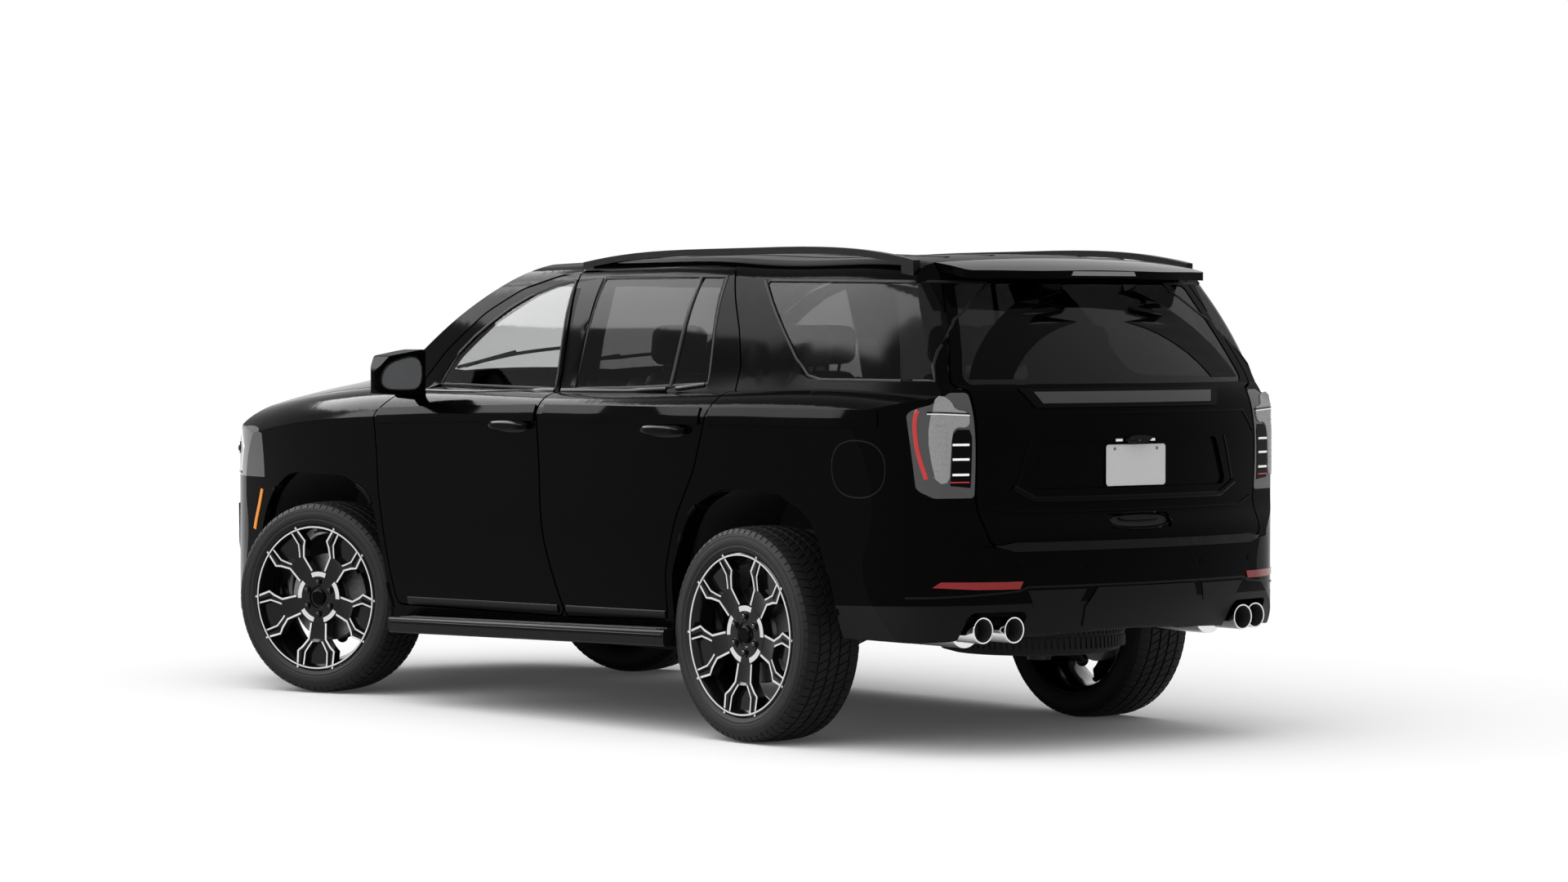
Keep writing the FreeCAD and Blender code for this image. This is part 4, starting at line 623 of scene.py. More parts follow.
def crown(y):
    """Radius of the tread at a place along the axle."""
    return TYRE_RADIUS - CROWN_DROP * (abs(y) / CROWN_PLACE) ** 2 - max(0.0, abs(y) - EDGE_PLACE) * EDGE_SLOPE


def add_tread_block(shape, low, high, start, lean, wide):
    """One slanted block of the tread between two places along the axle."""
    line = [(y, start + lean * part) for y, part in ((low, 0), ((low + high) / 2, 0.5), (high, 1))]
    ring = line + [(y, a + wide) for y, a in line[::-1]]
    top, foot = ([((crown(y) - depth) * math.cos(a), y, (crown(y) - depth) * math.sin(a)) for y, a in ring]
                 for depth in (0.0, BLOCK_DEPTH))
    faces = [[0, 1, 4, 5], [1, 2, 3, 4]] + [[i, i + 6, (i + 1) % 6 + 6, (i + 1) % 6] for i in range(6)]
    shape.add(top + foot, faces + [[11, 10, 7, 6], [10, 9, 8, 7]])


def make_tyre_shape():
    """Carcass, five ribs of slanted blocks, shoulder ribs and two fine rings on the side wall."""
    shape = Shape().lathe(CARCASS, TYRE_STEPS)
    pitch = FULL_TURN / BLOCKS
    for number, (low, high, slant) in enumerate(TREAD_RIBS):
        for k in range(BLOCKS):
            start = k * pitch + number * pitch * RIB_SHIFT_SHARE
            add_tread_block(shape, low, high, start, slant * pitch, pitch * BLOCK_SHARE)
    for flip in (1, -1):
        for k in range(BLOCKS):
            start = k * pitch + flip * SHOULDER_LEAD
            shape.rings([[(r * math.cos(a), y * flip, r * math.sin(a)) for y, r in SHOULDER_RIB]
                         for a in (start, start + pitch * SHOULDER_SHARE)])
    for r, y in WALL_RINGS:
        shape.lathe([(y - RING_FOOT, r - RING_FOOT_HALF), (y + RING_RISE, r - RING_TOP_HALF),
                     (y + RING_RISE, r + RING_TOP_HALF), (y - RING_FOOT, r + RING_FOOT_HALF)], TYRE_STEPS)
    return shape


wheel_shape, tyre_shape = make_wheel_shape(), make_tyre_shape()
for end in ("front", "rear"):
    for side, _ in SIDES:
        tyre, wheel = f"tyre_{end}_{side}", f"wheel_{end}_{side}"
        place = wheel_frame(tyre)
        wheel_shape.make(f"rim_{end}_{side}", wheel, [wheel_black, machined, gloss_black, dark_chrome, steel],
                         place, [wheel], slot="rim", sharp=28)
        tyre_shape.make(f"tread_{end}_{side}", wheel, [rubber], place, [tyre], slot="tyre", sharp=35)

# Side details
DOORS, DOOR_GLASS = ([f"{end}_door_{kind}{side}" for end in ("front", "rear") for side, _ in SIDES]
                     for kind in ("", "glass_"))
OUTSIDE = ("body_sides", "front_fenders", *DOORS, "hood", "roof_panel", "rear_bumper", "front_bumper",
           "liftgate", *DOOR_GLASS, "quarter_glass", "tail_lamps", "headlamps", "liftgate_glass",
           "windshield", "rear_valance", "grille")
FRONT_BELT = mm((850, 1338), (500, 1336), (-60, 1345))
REAR_BELT = mm((-78, 1345), (-600, 1350), (-896, 1362), (-1050, 1378))
FRONT_GLASS = mm((796, 1363), (756, 1416), (679, 1496), (573, 1565), (469, 1621), (349, 1682), (217, 1736),
                 (57, 1776), (-69, 1795), (-67, 1352))
REAR_GLASS = mm((-191, 1354), (-266, 1814), (-1066, 1806), (-1071, 1383), (-600, 1362))
QUARTER_GLASS = mm((-1301, 1789), (-1587, 1482), (-1662, 1420), (-1736, 1405), (-2376, 1405), (-2249, 1776))
DIVIDER = mm((-829, 1372), (-904, 1804))
PILLAR_COVER = mm((-84, 1362), (-106, 1607), (-88, 1788), (-250, 1805), (-200, 1366))
PILLAR_STRIP = mm((-2290, 1768), (-2418, 1412), (-2462, 1412), (-2340, 1768))
SHOULDER = mm((1060, 1225), (600, 1240), (-86, 1255), (-1000, 1258), (-1700, 1262), (-2200, 1262))
MARKER = mm((2020, 880), (2040, 884), (2100, 705), (2078, 700))
BOARD_TRIM, SILL_TRIM = mm((-985, 392), (905, 350)), mm((-930, 470), (880, 440))
FRONT_LIP = mm((1006, 400), (1046, 620), (1124, 846), (1190, 905), (1330, 950), (1550, 968), (1780, 953),
               (1880, 910), (1956, 856), (2044, 620))
REAR_LIP = mm((-974, 420), (-996, 640), (-1046, 780), (-1106, 890), (-1190, 935), (-1290, 962), (-1450, 975),
              (-1610, 964), (-1740, 920), (-1820, 870), (-1890, 760), (-1936, 640), (-1970, 520))
FRONT_LINER = mm((992, 310)) + FRONT_LIP + mm((2062, 500), (2112, 310))
REAR_LINER = mm((-962, 310)) + REAR_LIP + mm((-1973, 475))
MIRROR_FACE = mm((1168, 1462), (1016, 1492), (1012, 1344), (1112, 1338), (1215, 1346), (1216, 1412))
REPEATER = mm((1060, 1400), (1200, 1395))
SAIL = mm((880, 1340), (826, 1340), (800, 1364), (742, 1452))
FUEL_FLAP = mm((-1950, 967), (-2235, 967), (-2235, 1181), (-1950, 1181))
# handles: front and rear end of the bar, its height and the dished plate's margins
HANDLES = (("front", 0.213, -0.052), ("rear", -0.828, -1.102))
HANDLE_Z, PLATE_ENDS, PLATE_BELOW, PLATE_ABOVE = 1.200, 0.02, 0.028, 0.020
HANDLE_STAND, HANDLE_FOOT, HANDLE_ARCH, HANDLE_STEPS = 0.036, 0.004, 2.4, 16
HANDLE_TALL, HANDLE_SWELL, HANDLE_SWELL_TURN = 0.0155, 0.004, 1.4
HANDLE_DEEP, HANDLE_FOOT_DEEP, HANDLE_FOOT_SHARE = 0.007, 0.012, 0.12
TREADS, TREAD_FRONT, TREAD_REAR, TREAD_Y, TREAD_PITCH = 5, 0.86, -0.93, 0.950, 0.017
LINER_MIDDLE_Z, LINER_GAP, LINER_WALL, LINER_DEEP = 0.42, 0.004, 0.004, 0.062
LINER_IN_Y, LINER_MID_Y, LINER_EDGE_Y, LINER_EDGE_LIMIT = 0.64, 0.90, 0.955, 0.985
LINER_PROBES, LINER_EDGE_GAP = (0.012, 0.030, 0.055), 0.012


def dress_windows(skin, side):
    """Belt mouldings, weather seals, window divider and the black pillar covers."""
    front_door, rear_door = f"front_door_{side}", f"rear_door_{side}"
    for end, path in (("front", FRONT_BELT), ("rear", REAR_BELT)):
        strip(f"belt_{end}_{side}", skin, path, 0.020, 0.0045, gloss_black)
    for end, loop, body in (("front", FRONT_GLASS, front_door), ("rear", REAR_GLASS, rear_door),
                            ("quarter", QUARTER_GLASS, "body")):
        strip(f"seal_{end}_{side}", skin, loop, 0.012, 0.0025, matte_black, loop=True, body=body)
    strip(f"divider_{side}", skin, DIVIDER, 0.024, 0.005, satin_black, body=rear_door)
    patch(f"pillar_cover_{side}", skin, PILLAR_COVER, 0.0025, gloss_black, body=rear_door)
    patch(f"pillar_strip_{side}", skin, PILLAR_STRIP, 0.003, gloss_black, body="body")


def add_handle(skin, end, side, front, rear):
    """Bar on two feet over a dished plate."""
    body, up = f"{end}_door_{side}", Vector((0, 0, 1))
    low, high = HANDLE_Z - PLATE_BELOW, HANDLE_Z + PLATE_ABOVE
    near, far = front - PLATE_ENDS, rear + PLATE_ENDS
    plate = [(near, low), (near, high), (far, high), (far, low)]
    patch(f"handle_plate_{end}_{side}", skin, rounded(plate, 3), 0.0015, matte_black, body=body)
    rings = []
    for k in range(HANDLE_STEPS + 1):
        part = k / HANDLE_STEPS
        point, normal, _ = skin.land(front + (rear - front) * part, HANDLE_Z)
        stand = HANDLE_STAND * min(1.0, math.sin(math.pi * part) * HANDLE_ARCH) + HANDLE_FOOT
        tall = HANDLE_TALL + HANDLE_SWELL * math.cos(math.pi * (part - 0.5) * HANDLE_SWELL_TURN)
        at_foot = min(part, 1 - part) < HANDLE_FOOT_SHARE
        deep = HANDLE_DEEP + (HANDLE_FOOT_DEEP if at_foot else 0.0)
        out = (normal - up * normal.dot(up)).normalized()
        middle = point + out * stand
        rings.append([middle + up * u + out * v for u, v in round_points(12, tall, deep)])
    Shape().rings(rings).make(f"handle_{end}_{side}", body, [gloss_black], sharp=45)


def dress_sill(skin, side, sign):
    """Treads and trim of the running board, and the trim of the sill."""
    board, board_side = Skin("top", "body", "running_boards"), Skin(side, "body", "running_boards")
    for number in range(TREADS):
        y = (TREAD_Y + TREAD_PITCH * number) * sign
        strip(f"board_tread_{number}_{side}", board, [(TREAD_REAR, y), (TREAD_FRONT, y)], 0.009, 0.003,
              rubber, step=0.2)
    strip(f"board_trim_{side}", board_side, BOARD_TRIM, 0.012, 0.0025, gloss_black, step=0.2)
    strip(f"sill_trim_{side}", skin, SILL_TRIM, 0.034, 0.006, satin_black)


def add_liner(skin, end, side, sign, lip):
    """Dark liner of a wheel arch, from behind the lip inward and clear of the steered tyre."""
    middle = Vector((sum(p[0] for p in lip) / len(lip), LINER_MIDDLE_Z))
    rings = []
    for p in finely(lip, 0.06):
        away = (p - middle).normalized()
        edge = LINER_EDGE_Y
        for probe in LINER_PROBES:
            hit, _, _ = skin.land(p.x + away.x * probe, p.y + away.y * probe)
            if hit is not None:
                edge = min(abs(hit.y) - LINER_EDGE_GAP, LINER_EDGE_LIMIT)
                break
        near, deep = p + away * LINER_GAP, p + away * LINER_DEEP
        near_back, deep_back = near + away * LINER_WALL, deep + away * LINER_WALL
        section = ((deep, LINER_IN_Y), (deep, LINER_MID_Y), (near, edge), (near_back, edge),
                   (deep_back, LINER_MID_Y), (deep_back, LINER_IN_Y))
        rings.append([(q.x, y * sign, q.y) for q, y in section])
    Shape().rings(rings).make(f"liner_{end}_{side}", "body", [liner_black], sharp=50)


def dress_mirror(skin, side, sign):
    """Mirror glass, grey as a painted reflection, with its rim, repeater lamp and the black wedge behind the
    foot.
    """
    body = f"front_door_{side}"
    back, front = (Skin(way, body, f"mirror_{side}") for way in ("rear", "front"))
    face = rounded(mirrored(MIRROR_FACE, sign), 2)
    # the grey of the mirror glass is a painted reflection
    patch(f"mirror_glass_{side}", back, face, 0.002, mirror_glass)
    strip(f"mirror_rim_{side}", back, face, 0.006, 0.004, matte_black, loop=True, step=0.02)
    strip(f"mirror_repeater_{side}", front, mirrored(REPEATER, sign, False), 0.012, 0.003, amber)
    patch(f"sail_{side}", skin, SAIL, 0.002, gloss_black, body=body)


for side, sign in SIDES:
    skin = Skin(side, None, *OUTSIDE)
    dress_windows(skin, side)
    strip(f"crease_high_{side}", skin, SHOULDER, 0.070, 0.006, paint, crown=0.08, step=0.06)
    for end, front, rear in HANDLES:
        add_handle(skin, end, side, front, rear)
    patch(f"marker_{side}", skin, MARKER, 0.004, amber)
    dress_sill(skin, side, sign)
    for end, lip in (("front", FRONT_LIP), ("rear", REAR_LIP)):
        strip(f"arch_{end}_{side}", skin, rounded(lip, 2, False), 0.020, 0.005, paint, body="body")
    for end, lip in (("front", FRONT_LINER), ("rear", REAR_LINER)):
        add_liner(skin, end, side, sign, lip)
    dress_mirror(skin, side, sign)
strip("fuel_flap_gap", Skin("left", "body", *OUTSIDE), rounded(FUEL_FLAP, 3), 0.0045, 0.0006, liner_black,
      loop=True, step=0.015)

# Rear details, seen from behind as (left, up)
rear_skin = Skin("rear", "liftgate", "liftgate", "rear_bumper", "tail_lamps", "liftgate_glass",
                 "rear_valance", "body_sides", "roof_panel")
gate_skin = Skin("rear", "liftgate", "liftgate")
tail_lamp_skin, bumper_skin = Skin("rear", "body", "tail_lamps"), Skin("rear", "body", "rear_bumper")
lower_skin = Skin("rear", "body", "rear_valance", "rear_bumper")
TO_REAR = Matrix.Rotation(math.pi / 2, 4, "Z")
GATE_BAR = mm((520, 1374), (505, 1352), (470, 1303), (-470, 1303), (-505, 1352), (-520, 1374))
GATE_BAR_FIELD = mm((462, 1360), (436, 1318), (-436, 1318), (-462, 1360))
# creases and lips of the liftgate: name, path, width, height, finish, width of the top as a share
GATE_LINES = (
    ("gate_crease", mm((712, 1205), (652, 1281), (-652, 1281), (-712, 1205)), 0.012, 0.0035, paint, 0.2),
    ("recess_edge", mm((505, 1188), (562, 1014)), 0.012, 0.003, paint, 0.3),
    ("recess_edge_right", mm((-505, 1188), (-562, 1014)), 0.012, 0.003, paint, 0.3),
    ("recess_lip", mm((575, 1010), (480, 962), (-480, 962), (-575, 1010)), 0.022, 0.010, gloss_black, 0.35),
    ("gate_band", mm((722, 958), (600, 915), (-600, 915), (-722, 958)), 0.010, 0.003, paint, 0.2))
PLATE = mm((152, 1014), (152, 1154), (146, 1160), (-146, 1160), (-152, 1154), (-152, 1014), (-146, 1008),
           (146, 1008))
PLATE_GAP, PLATE_WALL, PLATE_RIM = 0.004, 0.002, 0.0022
BOLT_Y, BOLT_Z, BOLT_GAP = 0.11, 1.146, 0.001
BOLT = [(0.0, 0.0), (0.004, 0.0), (0.003, 0.006), (0.0, 0.007)]
LENS_Z, LENS_GAP, LENS = 1.181, 0.019, [(0.0, 0.0), (0.006, 0.0), (0.0045, 0.007), (0.0, 0.009)]
PLATE_LIGHT_Y = 85
STOP_LAMP = mm((168, 1801), (158, 1817), (-158, 1817), (-168, 1801))
LAMP_COLUMN = mm((862, 1352), (825, 1346), (806, 1328), (800, 1300), (748, 1290), (748, 1250), (764, 1233),
                 (800, 1236), (822, 1214), (830, 1100), (830, 1032), (872, 1024), (884, 1100), (892, 1200),
                 (884, 1300))
LAMP_STRIPE = mm((866, 1357), (893, 1340), (914, 1292), (917, 1240), (912, 1140), (895, 1042))
LAMP_FIELD = mm((820, 1205), (800, 1226), (752, 1226), (744, 1200), (748, 1010), (826, 1018))
# lines in a tail lamp: name, path, width, height, finish
LAMP_LINES = [("stripe", rounded(LAMP_STRIPE, 2, False), 0.017, 0.003, lamp_red),
              ("line", mm((893, 1284), (747, 1277)), 0.006, 0.0065, chrome),
              ("line_dark", mm((893, 1291), (747, 1284)), 0.005, 0.0060, gloss_black)]
LAMP_LINES += [(f"dash_{number}", mm((820, z), (756, z)), 0.009, 0.0045, lamp_white)
               for number, z in enumerate((1170, 1116, 1059))]
LAMP_LINES.append(("thread", mm((826, 1031), (754, 1031)), 0.005, 0.004, lamp_red))
LAMP_LINES += [(f"flute_{number}", mm((880, z), (836, z)), 0.003, 0.0052, lamp_silver)
               for number, z in enumerate(range(1050, 1266, 24))]
STEP_PAD = mm((690, 792), (610, 806), (-610, 806), (-690, 792), (-615, 772), (615, 772))
STEP_RIBS, STEP_RIB_START, STEP_RIB_PITCH, STEP_RIB_LEAN = 24, 0.575, 0.05, 0.012
STEP_RIB_LOW, STEP_RIB_HIGH = 0.779, 0.800
REFLECTOR = mm((882, 641), (862, 662), (582, 662), (595, 634), (760, 634))
SENSOR = [(-0.004, 0.0), (0.0015, 0.0), (0.0015, 0.0085), (0.0003, 0.0095), (0.0012, 0.0105),
           (0.0012, 0.0115), (-0.004, 0.0115)]
SENSOR_YS, SENSOR_Z = (0.985, 0.601, 0.294, -0.294, -0.601, -0.985), 0.712
LOWER_COVER = mm((250, 632), (292, 560), (270, 484), (-270, 484), (-292, 560), (-250, 632))
LOWER_FIELD = mm((300, 628), (560, 628), (520, 560), (330, 560))
LOWER_EDGE = mm((930, 600), (600, 626), (560, 640), (-560, 640), (-600, 626), (-930, 600))
VALANCE_LOW, VALANCE_FALL, VALANCE_HALF, VALANCE_CAD_LOW, VALANCE_KEEP_SHARE = 0.462, 0.030, 0.9, 0.33, 0.02
SPARE_PLACE, SPARE_BLOCKS, SPARE_STEPS = (-1.990, 0, 0.347), 96, 72
SPARE_TYRE = [(0.045, 0.0), (0.045, 0.185), (0.018, 0.200), (0.0, 0.235), (-0.002, 0.300), (0.010, 0.345),
              (0.028, 0.362), (0.048, 0.367), (0.104, 0.367), (0.124, 0.362), (0.142, 0.345), (0.150, 0.300),
              (0.148, 0.220), (0.120, 0.185), (0.120, 0.0)]
# rows of the spare's tread: lower and upper edge, shift as a share of a block
SPARE_ROWS = ((0.026, 0.070, 0.0), (0.080, 0.126, 0.5))
SPARE_LEAN_SHARES, SPARE_BLOCK_RADII = (0.0, 0.62, 0.80, 0.18), (0.360, 0.3715)


def dress_gate():
    """Bar of the liftgate, its grey field a painted highlight, and the creases of the liftgate."""
    patch("gate_bar", rear_skin, GATE_BAR, 0.006, gloss_black, step=0.03)
    # the field's grey is a painted highlight along the bar
    patch("gate_bar_field", rear_skin, GATE_BAR_FIELD, 0.0085, bar_grey_painted_highlight, step=0.03)
    for name, path, width, height, finish, crown in GATE_LINES:
        strip(name, rear_skin, path, width, height, finish, crown=crown)


def add_plate():
    """Blank number plate with its rim, screws and lights, and the camera above it."""
    front = min(gate_skin.land(y, z)[0].x for y, z in PLATE) - PLATE_GAP
    plate = Shape().rings([[(x, y, z) for y, z in PLATE] for x in (front, front - PLATE_WALL)])
    plate.make("blank_plate", "liftgate", [plate_white])
    path = [(front - PLATE_RIM, y, z) for y, z in PLATE]
    Shape().tube(path, PLATE_RIM, 8, loop=True).make("plate_rim", "liftgate", [plate_white])
    bolts = Shape()
    for y in (BOLT_Y, -BOLT_Y):
        bolts.join(Shape().lathe(BOLT, 12), Matrix.Translation((front - BOLT_GAP, y, BOLT_Z)) @ TO_REAR)
    bolts.make("plate_bolts", "liftgate", [steel])
    patch("camera_pod", gate_skin, rounded(box_loop(60, 1165, 1196), 2), 0.020, satin_black, step=0.01)
    place = Matrix.Translation(gate_skin.land(0.0, LENS_Z)[0] - Vector((LENS_GAP, 0, 0))) @ TO_REAR
    Shape().lathe(LENS, 20).make("camera_lens", "liftgate", [dark_chrome], place)
    for side, sign in SIDES:
        patch(f"plate_light_{side}", gate_skin, box_loop(16, 1174, 1184, PLATE_LIGHT_Y * sign), 0.004,
              lamp_white, step=0.01)


def add_pull():
    """Pull recess of the liftgate, and the stop lamp in the spoiler."""
    strip("pull_rim", gate_skin, rounded(box_loop(160, 843, 905), 3), 0.010, 0.004, gloss_black, loop=True,
          step=0.015)
    patch("pull_floor", gate_skin, rounded(box_loop(145, 852, 896), 3), 0.001, matte_black, step=0.02)
    patch("pull_pad", gate_skin, rounded(box_loop(105, 872, 892), 2), 0.008, satin_black, step=0.01)
    patch("high_stop_lamp", rear_skin, STOP_LAMP, 0.003, lamp_grey, step=0.02)


def dress_tail_lamp(side, sign):
    """Silver column, dark field, red stripe and fine lines of a tail lamp."""
    patch(f"lamp_column_{side}", tail_lamp_skin, rounded(mirrored(LAMP_COLUMN, sign), 1), 0.004, lamp_silver,
          step=0.014)
    patch(f"lamp_field_{side}", tail_lamp_skin, mirrored(LAMP_FIELD, sign), 0.002, gloss_black, step=0.02)
    for name, path, width, height, finish in LAMP_LINES:
        strip(f"lamp_{name}_{side}", tail_lamp_skin, mirrored(path, sign, False), width, height, finish,
              step=0.012)


def dress_bumper():
    """Step pad with ribs, reflectors, sensors and the lower cover."""
    patch("step_pad", bumper_skin, STEP_PAD, 0.005, satin_black, step=0.03)
    for number in range(STEP_RIBS):
        y = STEP_RIB_START - number * STEP_RIB_PITCH
        strip(f"step_rib_{number}", bumper_skin, [(y, STEP_RIB_LOW), (y - STEP_RIB_LEAN, STEP_RIB_HIGH)],
              0.006, 0.0065, matte_black, step=0.01)
    for side, sign in SIDES:
        patch(f"reflector_{side}", lower_skin, mirrored(REFLECTOR, sign), 0.004, reflector_red, step=0.02)
    for number, y in enumerate(SENSOR_YS):
        stud(f"sensor_{number}", bumper_skin, y, SENSOR_Z, SENSOR, 24, paint)
    patch("lower_cover", lower_skin, LOWER_COVER, 0.006, satin_black, step=0.03)
    for side, sign in SIDES:
        patch(f"lower_field_{side}", lower_skin, mirrored(LOWER_FIELD, sign), 0.003, satin_black, step=0.03)
    strip("lower_edge", lower_skin, LOWER_EDGE, 0.010, 0.004, satin_black)


def add_valance():
    """Lower cover of the bumper with its lower edge higher than the plain CAD panel's."""
    panel = nodes["rear_valance"].data
    points = []
    for vertex in panel.vertices:
        x, y, z = vertex.co
        edge = VALANCE_LOW - VALANCE_FALL * min(1.0, abs(y) / VALANCE_HALF)
        edge += (z - VALANCE_CAD_LOW) * VALANCE_KEEP_SHARE
        points.append((x, y, max(z, edge)))
    look = Shape().add(points, [list(face.vertices) for face in panel.polygons])
    look.make("valance_look", "body", [satin_black], replace=["rear_valance"], sharp=40)


def add_spare():
    """Rounded spare tyre lying under the floor, with two rows of tread blocks."""
    spare = Shape().lathe(SPARE_TYRE, SPARE_STEPS)
    for number in range(SPARE_BLOCKS):
        for low, high, shift in SPARE_ROWS:
            turns = [FULL_TURN * (number + shift + lean) / SPARE_BLOCKS for lean in SPARE_LEAN_SHARES]
            corners = list(zip(turns, (low, low, high, high)))
            spare.rings([[(r * math.cos(a), h, r * math.sin(a)) for a, h in corners]
                         for r in SPARE_BLOCK_RADII])
    place = Matrix.Translation(SPARE_PLACE) @ Matrix.Rotation(math.pi / 2, 4, "X")
    spare.make("spare_look", "body", [rubber], place, ["spare_wheel"], sharp=40)


dress_gate()
add_plate()
add_pull()
for side, sign in SIDES:
    dress_tail_lamp(side, sign)
dress_bumper()
add_valance()
add_spare()

# Front and roof details
lamp_skin, nose_skin = Skin("front", "body", "headlamps"), Skin("front", "body", "front_bumper")
hood_skin, screen_skin = Skin("top", "hood", "hood"), Skin("top", "body", "windshield")
roof_skin = Skin("top", "body", "roof_panel", "body_sides")
GRILLE_BACK, GRILLE_HALF, GRILLE_LOW, GRILLE_HIGH = (2.448, 2.452), 0.60, 0.575, 1.06
CELL_ROWS, CELL_COLUMNS, CELL_Y, CELL_Z = 19, 30, -0.585, 0.592
CELL_PITCH, CELL_RISE, CELL_LIMIT = 0.0395, 0.0253, 0.59
# section of a six-sided cell: x, half width, half height
CELL_SECTION = ((2.4500, 0.0185, 0.0115), (2.4525, 0.0185, 0.0115), (2.4600, 0.0150, 0.0090))
DAY_LAMPS = (("top", mm((650, 1136), (760, 1139), (905, 1146))),
             ("side", mm((905, 1140), (930, 1060), (905, 960))))
MODULE_YS, MODULE_HALF, MODULE_LOW, MODULE_HIGH, MODULE_LENS_Z = (690, 770, 850), 31, 1030, 1096, 1.063
MODULE_LENS = [(-0.002, 0.0), (0.004, 0.0235), (0.0065, 0.022), (0.0085, 0.014), (0.0095, 0.0)]
LAMP_BROW = mm((648, 955), (760, 953), (900, 950))
AIR_CURTAIN = mm((720, 560), (810, 600), (835, 800), (770, 820), (715, 700))
AIR_BLADE_HEIGHTS = (640, 695, 750)
HOOD_CREASE = mm((1300, 520), (1800, 500), (2430, 420))
LOWER_INTAKE = mm((-560, 400), (560, 400), (600, 500), (-600, 500))
INTAKE_BAR_HEIGHTS = (415, 439, 463, 487)
SKID_PLATE = mm((-330, 350), (330, 350), (390, 395), (-390, 395))
NOSE_SENSOR_YS, NOSE_SENSOR_Z = (-0.80, -0.30, 0.30, 0.80), 0.535
WIPERS = (("left", mm((1225, 520), (1150, 200), (1105, -100))),
          ("right", mm((1235, -100), (1160, -380), (1085, -580))))
WIPER_FOOT_X, WIPER_FOOT_Y = 0.02, 0.06
SCREEN_BAND = mm((1262, 660), (1262, -660))
POD_PLACE, POD_STEPS, POD_POINTS, POD_FOOT_SHARE = (0.43, 0.42), 8, 24, 0.25
POD_FRONT, POD_REAR, POD_HALF, POD_LEAN = 0.100, 0.066, 0.034, 0.012
POD_SINK, POD_TALL, POD_NOSE_DROP = 0.012, 0.046, 0.10
FLUTES, FLUTE_FRONT, FLUTE_REAR = (("a", 0.46), ("b", 0.23), ("c", -0.23), ("d", -0.46)), 0.05, -2.02
PIPES, PIPE_Z = ((-2.5565, 0.598), (-2.5115, 0.712), (-2.5565, -0.598), (-2.5115, -0.712)), 0.480
# bore with a closed end: its near-black is partly soot and partly painted shade for the pipe's depth
PIPE_BORE = [(-0.0012, 0.0440), (0.0008, 0.0425), (-0.002, 0.0415), (-0.070, 0.0405), (-0.070, 0.0),
              (-0.072, 0.0), (-0.072, 0.0435)]
PIPE_COLLAR = [(-0.010, 0.0488), (0.0005, 0.0495), (0.0028, 0.0488), (0.0036, 0.0465), (0.0028, 0.0440),
               (-0.002, 0.0430), (-0.010, 0.0430)]


def add_grille_mesh():
    """Fine six-sided mesh with its backing, behind the bars of the grille."""
    corners = ((GRILLE_HALF, GRILLE_LOW), (-GRILLE_HALF, GRILLE_LOW), (-GRILLE_HALF, GRILLE_HIGH),
               (GRILLE_HALF, GRILLE_HIGH))
    backing = Shape().rings([[(x, y, z) for y, z in corners] for x in GRILLE_BACK])
    backing.make("grille_backing", "body", [matte_black])
    cells = Shape()
    for row in range(CELL_ROWS):
        for column in range(CELL_COLUMNS):
            y = CELL_Y + column * CELL_PITCH + (CELL_PITCH / 2 if row % 2 else 0.0)
            z = CELL_Z + row * CELL_RISE
            if abs(y) <= CELL_LIMIT:
                cells.rings([[(x, y + u, z + v) for u, v in round_points(6, wide, tall)]
                             for x, wide, tall in CELL_SECTION])
    cells.make("grille_mesh", "body", [gloss_black])


def dress_front(side, sign):
    """Lamp insides, air curtain and hood crease of one side."""
    for name, path in DAY_LAMPS:
        strip(f"day_lamp_{name}_{side}", lamp_skin, mirrored(path, sign, False), 0.013, 0.004, lamp_white)
    for number, y in enumerate(MODULE_YS):
        inner, outer = y - MODULE_HALF, y + MODULE_HALF
        loop = mm((inner, MODULE_LOW), (outer, MODULE_LOW), (outer, MODULE_HIGH), (inner, MODULE_HIGH))
        patch(f"lamp_module_{number}_{side}", lamp_skin, mirrored(rounded(loop, 2), sign), 0.003, dark_chrome,
              step=0.02)
        stud(f"lamp_lens_{number}_{side}", lamp_skin, y / 1000 * sign, MODULE_LENS_Z, MODULE_LENS, 28,
             lamp_silver)
    strip(f"lamp_brow_{side}", lamp_skin, mirrored(LAMP_BROW, sign, False), 0.010, 0.003, dark_chrome)
    patch(f"air_curtain_{side}", nose_skin, mirrored(AIR_CURTAIN, sign), 0.003, matte_black)
    strip(f"air_curtain_rim_{side}", nose_skin, mirrored(AIR_CURTAIN, sign, False), 0.010, 0.006, satin_black,
          loop=True)
    for number, z in enumerate(AIR_BLADE_HEIGHTS):
        strip(f"air_blade_{number}_{side}", nose_skin, mirrored(mm((728, z), (812, z + 12)), sign, False),
              0.012, 0.009, gloss_black)
    strip(f"hood_crease_{side}", hood_skin, [(x, y * sign) for x, y in HOOD_CREASE], 0.014, 0.002, paint,
          crown=0.1)


def dress_nose():
    """Lower intake with its bars, skid plate and sensors."""
    patch("lower_intake", nose_skin, LOWER_INTAKE, 0.003, matte_black)
    for number, z in enumerate(INTAKE_BAR_HEIGHTS):
        strip(f"intake_bar_{number}", nose_skin, mm((-570, z), (570, z)), 0.007, 0.007, satin_black)
    patch("skid_plate", nose_skin, SKID_PLATE, 0.005, steel)
    for number, y in enumerate(NOSE_SENSOR_YS):
        stud(f"nose_sensor_{number}", nose_skin, y, NOSE_SENSOR_Z, SENSOR, 24, paint)


